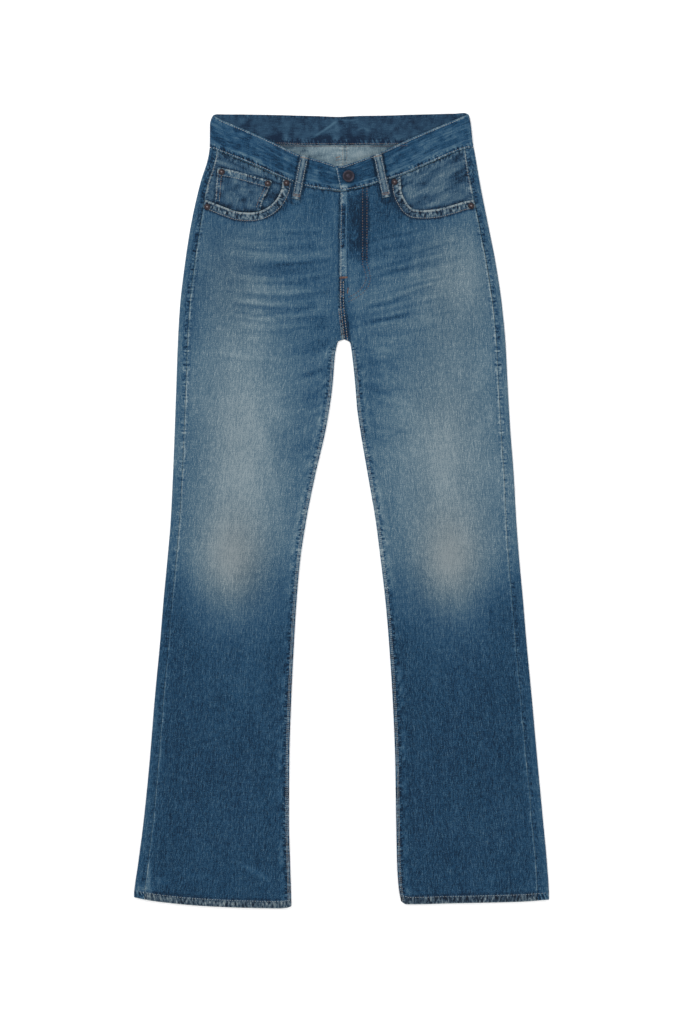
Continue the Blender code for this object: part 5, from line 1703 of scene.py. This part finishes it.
def spun_metal(node, radius, profile, segments, x, drop, material):
    """A round metal piece on its CAD node's base: a profile spun about its upright axis."""
    mesh = bmesh.new()
    corners = [mesh.verts.new((radius * share, 0, height)) for share, height in profile]
    edges = [mesh.edges.new(pair) for pair in zip(corners, corners[1:])]
    bmesh.ops.spin(mesh, geom=corners + edges, axis=(0, 0, 1), cent=(0, 0, 0), angle=math.tau,
                   steps=segments, use_merge=True)
    bmesh.ops.remove_doubles(mesh, verts=list(mesh.verts), dist=0.01)
    bmesh.ops.recalc_face_normals(mesh, faces=list(mesh.faces))
    highest_point = max(height for _, height in profile)
    heights = [v.co.z / highest_point for v in mesh.verts]
    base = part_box(node)[0][2] / MM
    bmesh.ops.translate(mesh, vec=(x, LENGTH / 2 - drop, base), verts=list(mesh.verts))
    bmesh.ops.scale(mesh, vec=(MM, MM, MM), verts=list(mesh.verts))
    data = finished_mesh(mesh, node + "_cap")
    # Brightness grows towards the top: partly rubbed metal, partly a painted highlight.
    add_attribute(data, "rubbed", np.array(heights, dtype=np.float32) ** 3)
    data.materials.append(material)
    data.shade_smooth()
    data.set_sharp_from_angle(angle=math.radians(50))
    record_piece(in_scene(node + "_cap", data), node)


def rivet(name, x, drop):
    """A capped rivet with a raised nub."""
    c = colours()
    material = worn_metal(f"rivet_{name}_copper", c.metal_dark, c.metal_bright, 0.25)
    spun_metal(f"rivet_{name}", RIVET_RADIUS, RIVET_PROFILE, 32, x, drop, material)


def waist_button():
    """The tack button: a short shank, a dished face with a rolled rim, and a centre boss."""
    c = colours()
    material = worn_metal("waist_button_copper", c.button_dark, c.button_bright, 0.2)
    spun_metal("waist_button", BUTTON_RADIUS, BUTTON_PROFILE, 56, *BUTTON_PLACE, material)


# Sewing. Each row of stitches is a line of x, drop with its colour's age: 0 fresh rust, 1 worn pale


def walk(points, pitch):
    """Middles and directions of stitches, one pitch apart, along a line through points."""
    lengths = [math.dist(a, b) for a, b in zip(points, points[1:])]
    cells = max(1, int(sum(lengths) / pitch))
    places = spread(points, cells * 2)
    middles = []
    for n in range(cells):
        start, middle, end = places[2 * n], places[2 * n + 1], places[2 * n + 2]
        middles.append((*middle, math.atan2(-(end[1] - start[1]), end[0] - start[0])))
    return middles


def stepped(start, end, step):
    """Even places from start to end, about a step apart."""
    return np.linspace(start, end, max(2, int(abs(end - start) / step)) + 1)


def seam_line(x_at, start, end, step=12):
    """A line down the garment whose x is a function of the drop."""
    return [(float(x_at(d)), float(d)) for d in stepped(start, end, step)]


def level_line(drop_at, start, end, step=8):
    """A line across the garment whose drop is a function of x."""
    return [(float(x), float(drop_at(x))) for x in stepped(start, end, step)]


def bar_tack(x, drop, length, lean):
    """A short dense bar of thread: its two ends."""
    run = (math.cos(lean) * length / 2, -math.sin(lean) * length / 2)
    return [(x - run[0], drop - run[1]), (x + run[0], drop + run[1])]


def row_list():
    """An empty list of rows and the function that adds one: points, age, pitch, length, width."""
    rows = []

    def add(points, age, pitch=3.3, length=2.6, width=0.8):
        rows.append((points, age, pitch, length, width))

    return rows, add


def front_rows():
    """Rows of stitches that show from the front."""
    rows, add = row_list()
    for side in SIDE_NAMES:
        opening = rounded(POCKET_OPENINGS[side], 60)
        add(offset(opening, -side * 2.2)[1:-2], 0.75)
        add(offset(opening, -side * 11.4)[3:-2], 0.68)
        for inset, age, width in ((2.6, 1.05, 0.7), (4.4, 1, 0.6)):
            inseam = seam_line(lambda d: front_inner_x(side, d) + side * inset, 344, 1142)
            add(inseam, age, 2.9, 2.3, width)
        outer_end = float(outseam_x(side, 1125))
        hem_ends = (-286, -76) if side == RIGHT else (88, 284)
        for ends in (hem_ends, (outer_end, outer_end + side * 13)):
            add(level_line(lambda x: HEM_DROP[side](x) - HEM_DEPTH + 1.4, *ends), 1.1, 3.6, 2.4, 0.55)
        band_ends = (-178, -10) if side == RIGHT else (178, -5)
        add(level_line(lambda x: FRONT_TOP_DROP(x) + 2.3, *band_ends), 0.85)
        seam_ends = (-186, -4) if side == RIGHT else (186, 1)
        add(level_line(lambda x: FRONT_SEAM_DROP(x) - 2.2, *seam_ends), 0.85)
        add(seam_line(lambda d: outseam_x(side, d) - side * 1.8, 62, 118), 0.7)
    add([(-6.6, 80.4), (-4.6, 92), (-1.6, 106), (0.6, 111.6)], 0.8)
    add(seam_line(lambda d: FLY_EDGE_X(d) + 2.2, 117, 268), 0.7)
    add([(30.6, 108), (30.6, 220), (34, 230), (36, 240), (33, 249), (27, 257),
         (18, 264), (9, 268)], 0.10, 3.9, 2.2, 1)
    add([(36.8, 108), (36.8, 218), (40, 229), (42.2, 241), (38.4, 252.6), (31, 261.6),
         (20, 269.4), (9, 274.4)], 0.10, 3.9, 2.2, 1)
    add(seam_line(lambda d: FLY_EDGE_X(d) + 1.4, 244, 327), 0.45, 3.6, 2.6, 1.2)
    add(seam_line(lambda d: FLY_EDGE_X(d) + 5.6, 244, 330), 0.6, 3.6, 2.6, 1.2)
    add(seam_line(lambda d: FLY_EDGE_X(d) - 2, 284, 327), 0.5)
    top_at, outer_at, inner_at, _ = coin_lines()
    add(level_line(lambda x: top_at(x) + 2, -176, -103), 0.75)
    add(level_line(lambda x: top_at(x) + 10, -177, -105), 0.7)
    add([(float(outer_at(d)) + 1.8, d) for d in (82, 100, 116, 126)], 0.6)
    add([(float(outer_at(d)) + 6.6, d) for d in (92, 104, 118, 129)], 0.5)
    add([(float(inner_at(d)) - 1.8, d) for d in (101, 110, 119, 128, 137)], 0.6)
    add([(float(inner_at(d)) - 6.6, d) for d in (110, 118, 127, 138)], 0.5)
    for _, top_x, top_drop, low_x, low_drop in FRONT_LOOPS:
        along = loop_run(top_x, top_drop, low_x, low_drop)[1]
        for aside in (-FRONT_LOOP_WIDTH / 2 + 1.7, FRONT_LOOP_WIDTH / 2 - 1.7):
            start = (top_x + along[1] * aside + along[0] * 7, top_drop - along[0] * aside + along[1] * 7)
            end = (low_x + along[1] * aside - along[0] * 7, low_drop - along[0] * aside - along[1] * 7)
            add([start, end], 1)
        lean = math.atan2(along[0], along[1])
        for share, age in ((0.05, 0.22), (0.90, 0), (0.935, 0.05)):
            x, drop = lerp(top_x, low_x, share), lerp(top_drop, low_drop, share)
            add(bar_tack(x, drop, FRONT_LOOP_WIDTH - 2, lean), age, 1.05, 1.6, 1.1)
    for x, drop, length, lean in ((3, 239, 11, 0.05), (9, 258, 7, 1.4)):
        for step in (-0.9, 0, 0.9):
            add(bar_tack(x, drop + step, length, lean), 0, 1.05, 1.8, 1.2)
    return rows


def inside_rows():
    """Rows that show inside the waist opening."""
    rows, add = row_list()
    add(level_line(lambda x: BACK_SEAM_DROP(x) + 2, -98, 96), 0.05, 3, 2.5, 0.7)
    add(level_line(lambda x: BACK_SEAM_DROP(x) - 1.8, -98, 96), 0.35, 3.2, 2.5, 0.6)
    add(seam_line(lambda d: CENTRE_BACK_X - 2, 49, 76), 0.2, 3.2, 2.5, 0.6)
    add(seam_line(lambda d: CENTRE_BACK_X + 4, 49, 74), 0.5, 3.2, 2.5, 0.6)
    for drop in (64, 65, 68.4):
        add(bar_tack(-5, drop, 7, 0.25), 0.30, 1.05, 1.6, 0.7)
    return rows


def back_rows():
    """Rows on the underside of the garment."""
    rows, add = row_list()
    for side in SIDE_NAMES:
        middle = CENTRE_BACK_X + side * BACK_POCKET_CENTRE
        far = side * 186
        start = CENTRE_BACK_X + side * 2
        for away in (2.4, 8.6):
            add(level_line(lambda x: YOKE_SEAM_DROP(x) + away, start, side * 195), 0.55)
        add(seam_line(lambda d: back_inner_x(side, d) + side * 3.2, 350, 1140), 0.5)
        add(level_line(lambda x: HEM_DROP[side](x) - HEM_DEPTH + 0.4, side * 92, side * 296), 0.6)
        add(level_line(lambda x: BACK_SEAM_DROP(x) - 2.2, CENTRE_BACK_X, far), 0.8)
        add(level_line(lambda x: BACK_TOP_DROP(x) + 2.2, CENTRE_BACK_X, side * 178), 0.8)
        for inset in (2.2, 8):
            wide_top = BACK_POCKET_TOP_HALF_WIDTH - inset
            wide_low = BACK_POCKET_BOTTOM_HALF_WIDTH - inset
            top = BACK_POCKET_TOP_DROP + 2.5
            side_low = BACK_POCKET_TOP_DROP + BACK_POCKET_SIDE_DEPTH - inset * 1.1
            point_low = BACK_POCKET_TOP_DROP + BACK_POCKET_POINT_DEPTH - inset * 1.1
            add([(middle - wide_top, top), (middle - wide_low, side_low), (middle, point_low),
                 (middle + wide_low, side_low), (middle + wide_top, top)], 0.6)
        for below in (3, 14):
            wide = BACK_POCKET_TOP_HALF_WIDTH - 2.5
            row_drop = BACK_POCKET_TOP_DROP + below
            add([(middle - wide, row_drop), (middle + wide, row_drop)], 0.6)
    for away in (2.2, 8.4):
        add(seam_line(lambda d: CENTRE_BACK_X + away, 118, 322), 0.5)
        add(seam_line(lambda d: CENTRE_BACK_X + away, 52, 106), 0.5)
    for _, loop_x in BACK_LOOPS:
        for aside in (-4.2, 4.2):
            x = CENTRE_BACK_X + loop_x + aside
            add([(x, BACK_LOOP_TOP_DROP + 5), (x, BACK_LOOP_BOTTOM_DROP - 5)], 0.6)
        for drop in (BACK_LOOP_TOP_DROP + 2.5, BACK_LOOP_BOTTOM_DROP - 2.5):
            add(bar_tack(CENTRE_BACK_X + loop_x, drop, 10, 0), 0, 1.05, 1.5, 0.9)
    return rows


def cloth_tree():
    """A search tree over all the sewn cloth, for finding the surface that a stitch goes into."""
    points, faces, passed = [], [], 0
    for piece in bpy.data.objects:
        if piece.name.endswith("_cloth"):
            points.append(mesh_points(piece.data))
            corners = np.empty(len(piece.data.polygons) * 4, dtype=np.int64)
            piece.data.loops.foreach_get("vertex_index", corners)
            faces.append(corners.reshape(-1, 4) + passed)
            passed += len(points[-1])
    return BVHTree.FromPolygons(np.concatenate(points).tolist(), np.concatenate(faces).tolist())


def stitch_shape():
    """One stitch lying along X: a thread that dips into the cloth at both ends."""
    mesh = bmesh.new()
    bmesh.ops.create_uvsphere(mesh, u_segments=6, v_segments=4, radius=0.5)
    lying = Matrix.Rotation(math.radians(90), 3, "Y")
    bmesh.ops.rotate(mesh, verts=list(mesh.verts), cent=(0, 0, 0), matrix=lying)
    return finished_mesh(mesh, "one_stitch")


def thread_material(name):
    """Cotton-wrapped thread, rust where fresh, pale where worn, with its twist."""
    c = colours()
    material, tree, shader = new_material(name, 0.75, sheen=0.2, specular=0.3)
    age = attribute(tree, "age")
    place = attribute(tree, "thread_place", "Vector")
    uneven = noise(tree, place, (0.004, 0.004, 0.004), 2)
    age = maths(tree, "MULTIPLY_ADD", maths(tree, "SUBTRACT", uneven, 0.5), 0.5, age)
    ages = ((0, c.thread_rust), (0.4, c.thread_tan), (0.75, c.thread_pale), (1, c.thread_white))
    colour = ramp(tree, age, ages)
    tree.links.new(colour, shader.inputs["Base Color"])
    twist = noise(tree, place, (0.0005, 0.0005, 0.0005), 1)
    raise_surface(tree, shader, twist, 0.4, 0.0001)
    return material


def sew(name, rows, from_above, tree, seed):
    """Joined stitches along rows, each laid on the cloth that is found under it."""
    one = stitch_shape()
    base = mesh_points(one)
    shapes = [list(face.vertices) for face in one.polygons]
    way = -1.0 if from_above else 1.0
    start_z = 0.05 if from_above else -0.05
    points, ages = [], []
    draw = np.random.default_rng(seed)
    for line, age, pitch, length, width in rows:
        for x, drop, angle in walk(line, pitch):
            jitter = draw.normal(0, 1, 4)
            half = length / 2 * (1 + 0.08 * jitter[0])
            angle += 0.05 * jitter[1]
            run = Vector((math.cos(angle), math.sin(angle), 0))
            middle = Vector((x * MM, (LENGTH / 2 - drop) * MM, start_z))
            ends = []
            for sign in (-1, 1):
                hit = tree.ray_cast(middle + run * (sign * half * 0.6 * MM), Vector((0, 0, way)), 0.2)
                if hit[0] is not None:
                    ends.append(hit[0])
            if len(ends) < 2 or abs(ends[0].z - ends[1].z) > 0.0012:
                continue
            centre = (ends[0] + ends[1]) / 2
            forward = (ends[1] - ends[0]).normalized()
            up = Vector((0, 0, -way))
            side = up.cross(forward).normalized()
            up = forward.cross(side).normalized()
            size = (2 * half, width * (1 + 0.10 * jitter[2]), width * (0.62 if from_above else 0.42))
            turn = np.array([forward, side, up])
            raised = np.array(centre) + np.array(up) * (width * 0.10 * MM)
            points.append((base * np.array(size) * MM) @ turn + raised)
            ages.append(np.full(len(base), age + 0.10 * jitter[3]))
    data = bpy.data.meshes.new(name)
    faces = [[corner + len(base) * n for corner in shape] for n in range(len(points)) for shape in shapes]
    data.from_pydata(np.concatenate(points).tolist(), [], faces)
    add_attribute(data, "age", np.concatenate(ages))
    add_attribute(data, "thread_place", np.concatenate(points))
    turn_outwards(data)
    data.materials.append(thread_material(name + "_thread"))
    data.shade_smooth()
    bpy.data.meshes.remove(one)
    record_piece(in_scene(name, data))


def stage():
    """A pale floor, soft light from above and a little from the waist, and the camera overhead."""
    scene = bpy.context.scene
    mesh = bmesh.new()
    bmesh.ops.create_grid(mesh, x_segments=1, y_segments=1, size=4)
    floor = in_scene("floor", finished_mesh(mesh, "floor"))
    material, tree, shader = new_material("floor_paper", 0.9, specular=0.1)
    place = add_node(tree, "TexCoord").outputs["Object"]
    paper = noise(tree, place, (0.02, 0.02, 0.02), 3)
    pale = ramp(tree, paper, ((0, (0.93, 0.93, 0.93)), (1, (0.96, 0.96, 0.96))))
    tree.links.new(pale, shader.inputs["Base Color"])
    floor.data.materials.append(material)

    world = bpy.data.worlds.new("soft_room")
    world.use_nodes = True
    world.node_tree.nodes["Background"].inputs["Color"].default_value = (1, 1, 1, 1)
    world.node_tree.nodes["Background"].inputs["Strength"].default_value = sizes().room_light
    scene.world = world
    for name, place_xyz, size, power in (
        ("key_light", (-1.4, 1.9, 2.2), 1.3, sizes().key_light),
        ("fill_light", (2, -1.4, 2.4), 2, sizes().key_light * 0.35),
    ):
        light = bpy.data.lights.new(name, "AREA")
        light.shape = "SQUARE"
        light.size = size
        light.energy = power
        lamp = in_scene(name, light)
        lamp.location = place_xyz
        lamp.rotation_euler = (-Vector(place_xyz)).to_track_quat("-Z", "Y").to_euler()
    lens = bpy.data.cameras.new("overhead")
    lens.lens = 100.0
    lens.sensor_fit = "VERTICAL"
    lens.sensor_height = 36.0
    lens.clip_end = 50.0
    camera = in_scene("overhead", lens)
    camera.location = (0.0, CAMERA_Y, sizes().camera_height)
    scene.camera = camera
    scene.view_settings.view_transform = "Standard"
    scene.view_settings.look = "None"


class JeansSizes(bpy.types.PropertyGroup):
    pucker_height: FloatProperty(
        name="Pucker height",
        description="How far the cloth stands up between the stitches of a seam",
        default=0.00038,
        unit="LENGTH",
    )
    room_light: FloatProperty(name="Room light", description="Strength of the even light", default=1.14)
    key_light: FloatProperty(name="Key light", description="Power of the lamp over the waist", default=46.0)
    camera_height: FloatProperty(
        name="Camera height", description="Height of the camera over the floor", default=4.124, unit="LENGTH"
    )
    thread_seed: IntProperty(name="Thread seed", description="Start of the stitches' unevenness", default=7)


def colour_property(name, description, red, green, blue):
    return FloatVectorProperty(
        name=name, description=description, subtype="COLOR", size=3, min=0, max=1,
        default=screen(red, green, blue),
    )


class JeansColours(bpy.types.PropertyGroup):
    # Deep indigo is mostly reached where painted shade darkens the cloth beside seams and edges.
    indigo_deep: colour_property("Deep indigo", "Cloth in the seams' hollows", 10, 32, 52)
    indigo_dark: colour_property("Dark indigo", "Untouched cloth of the lower legs", 21, 64, 96)
    indigo_mid: colour_property("Mid indigo", "Cloth of the hips", 47, 82, 109)
    indigo_soft: colour_property("Soft indigo", "Worn cloth", 66, 97, 118)
    indigo_pale: colour_property("Pale indigo", "Well worn cloth", 90, 117, 133)
    indigo_worn: colour_property("Thigh indigo", "Cloth of the thighs", 117, 138, 149)
    indigo_white: colour_property("Rubbed white", "Cloth rubbed to its white core", 142, 158, 165)
    reverse_dark: colour_property("Dark reverse", "Shaded wrong side", 52, 74, 90)
    reverse_mid: colour_property("Reverse", "Wrong side of the cloth", 104, 125, 136)
    reverse_pale: colour_property("Pale reverse", "Pale yarns of the wrong side", 150, 164, 168)
    band_inside_dark: colour_property("Dark band lining", "Unworn cloth inside the band", 14, 34, 56)
    band_inside_mid: colour_property("Band lining", "Inside of the waistband", 37, 67, 92)
    knee_tint: colour_property("Knee tint", "Tone of the greyed knees", 247, 255, 255)
    thread_rust: colour_property("Rust thread", "Fresh thread", 88, 60, 54)
    thread_tan: colour_property("Tan thread", "Thread", 134, 112, 96)
    thread_pale: colour_property("Pale thread", "Worn thread", 140, 146, 146)
    thread_white: colour_property("White thread", "Thread rubbed pale", 158, 168, 172)
    metal_dark: colour_property("Dark copper", "Hollows of the rivets", 34, 28, 34)
    # Bright copper is partly rubbed metal, partly a painted highlight on the nubs.
    metal_bright: colour_property("Bright copper", "Rubbed parts of the rivets", 160, 146, 146)
    button_dark: colour_property("Dark button", "Hollows of the button", 30, 30, 38)
    button_bright: colour_property("Bright button", "Rubbed parts of the button", 68, 64, 76)


class JEANS_OT_back_pockets(bpy.types.Operator):
    """Make the two plain back pockets"""

    bl_idname = "jeans.back_pockets"
    bl_label = "Back pockets"

    def execute(self, context):
        for side in SIDE_NAMES:
            back_pocket(side)
        return {"FINISHED"}


class JEANS_OT_back_panels(bpy.types.Operator):
    """Make the two back panels, which wrap round the outer folds"""

    bl_idname = "jeans.back_panels"
    bl_label = "Back panels"

    def execute(self, context):
        for side in SIDE_NAMES:
            back_panel(side)
        return {"FINISHED"}


class JEANS_OT_yokes(bpy.types.Operator):
    """Make the two back yokes"""

    bl_idname = "jeans.yokes"
    bl_label = "Back yokes"

    def execute(self, context):
        for side in SIDE_NAMES:
            yoke(side)
        return {"FINISHED"}


class JEANS_OT_front_panels(bpy.types.Operator):
    """Make the two front panels"""

    bl_idname = "jeans.front_panels"
    bl_label = "Front panels"

    def execute(self, context):
        for side in SIDE_NAMES:
            front_panel(side)
        return {"FINISHED"}


class JEANS_OT_hip_pockets(bpy.types.Operator):
    """Make the hip pocket facings and the coin pocket"""

    bl_idname = "jeans.hip_pockets"
    bl_label = "Hip pockets"

    def execute(self, context):
        for side in SIDE_NAMES:
            pocket_facing(side)
        coin_pocket()
        return {"FINISHED"}


class JEANS_OT_waistband(bpy.types.Operator):
    """Make the waistband"""

    bl_idname = "jeans.waistband"
    bl_label = "Waistband"

    def execute(self, context):
        waistband()
        return {"FINISHED"}


class JEANS_OT_belt_loops(bpy.types.Operator):
    """Make the five belt loops"""

    bl_idname = "jeans.belt_loops"
    bl_label = "Belt loops"

    def execute(self, context):
        for name, offset_x in BACK_LOOPS:
            back_loop(name, offset_x)
        for row in FRONT_LOOPS:
            front_loop(*row)
        return {"FINISHED"}


class JEANS_OT_stitches(bpy.types.Operator):
    """Sew the rows of stitches and the bar tacks into the cloth"""

    bl_idname = "jeans.stitches"
    bl_label = "Stitches"

    def execute(self, context):
        tree = cloth_tree()
        seed = sizes().thread_seed
        sew("front_stitches", front_rows(), True, tree, seed)
        sew("inside_stitches", inside_rows(), True, tree, seed + 1)
        sew("back_stitches", back_rows(), False, tree, seed + 2)
        return {"FINISHED"}


class JEANS_OT_metal(bpy.types.Operator):
    """Make the waist button and the six rivets"""

    bl_idname = "jeans.metal"
    bl_label = "Button and rivets"

    def execute(self, context):
        waist_button()
        for row in RIVETS:
            rivet(*row)
        return {"FINISHED"}


class JEANS_OT_stage(bpy.types.Operator):
    """Make the floor, the lights and the camera"""

    bl_idname = "jeans.stage"
    bl_label = "Stage"

    def execute(self, context):
        stage()
        return {"FINISHED"}


STEPS = (
    JEANS_OT_back_pockets,
    JEANS_OT_back_panels,
    JEANS_OT_yokes,
    JEANS_OT_hip_pockets,
    JEANS_OT_front_panels,
    JEANS_OT_waistband,
    JEANS_OT_belt_loops,
    JEANS_OT_stitches,
    JEANS_OT_metal,
    JEANS_OT_stage,
)


class JEANS_PT_panel(bpy.types.Panel):
    """Steps and settings of the jeans"""

    bl_idname = "JEANS_PT_panel"
    bl_label = "Jeans"
    bl_space_type = "VIEW_3D"
    bl_region_type = "UI"
    bl_category = "Jeans"

    def draw(self, context):
        for step in STEPS:
            self.layout.operator(step.bl_idname)
        for group in (context.scene.jeans_sizes, context.scene.jeans_colours):
            box = self.layout.box()
            for key in group.bl_rna.properties.keys():
                if key not in ("rna_type", "name"):
                    box.prop(group, key)


CLASSES = (JeansSizes, JeansColours, *STEPS, JEANS_PT_panel)


def register():
    for kind in CLASSES:
        bpy.utils.register_class(kind)
    bpy.types.Scene.jeans_sizes = PointerProperty(type=JeansSizes)
    bpy.types.Scene.jeans_colours = PointerProperty(type=JeansColours)


def unregister():
    del bpy.types.Scene.jeans_colours
    del bpy.types.Scene.jeans_sizes
    for kind in reversed(CLASSES):
        bpy.utils.unregister_class(kind)


def main():
    register()
    bpy.ops.jeans.back_pockets()
    bpy.ops.jeans.back_panels()
    bpy.ops.jeans.yokes()
    bpy.ops.jeans.hip_pockets()
    bpy.ops.jeans.front_panels()
    bpy.ops.jeans.waistband()
    bpy.ops.jeans.belt_loops()
    bpy.ops.jeans.stitches()
    bpy.ops.jeans.metal()
    bpy.ops.jeans.stage()


if __name__ == "__main__":
    main()
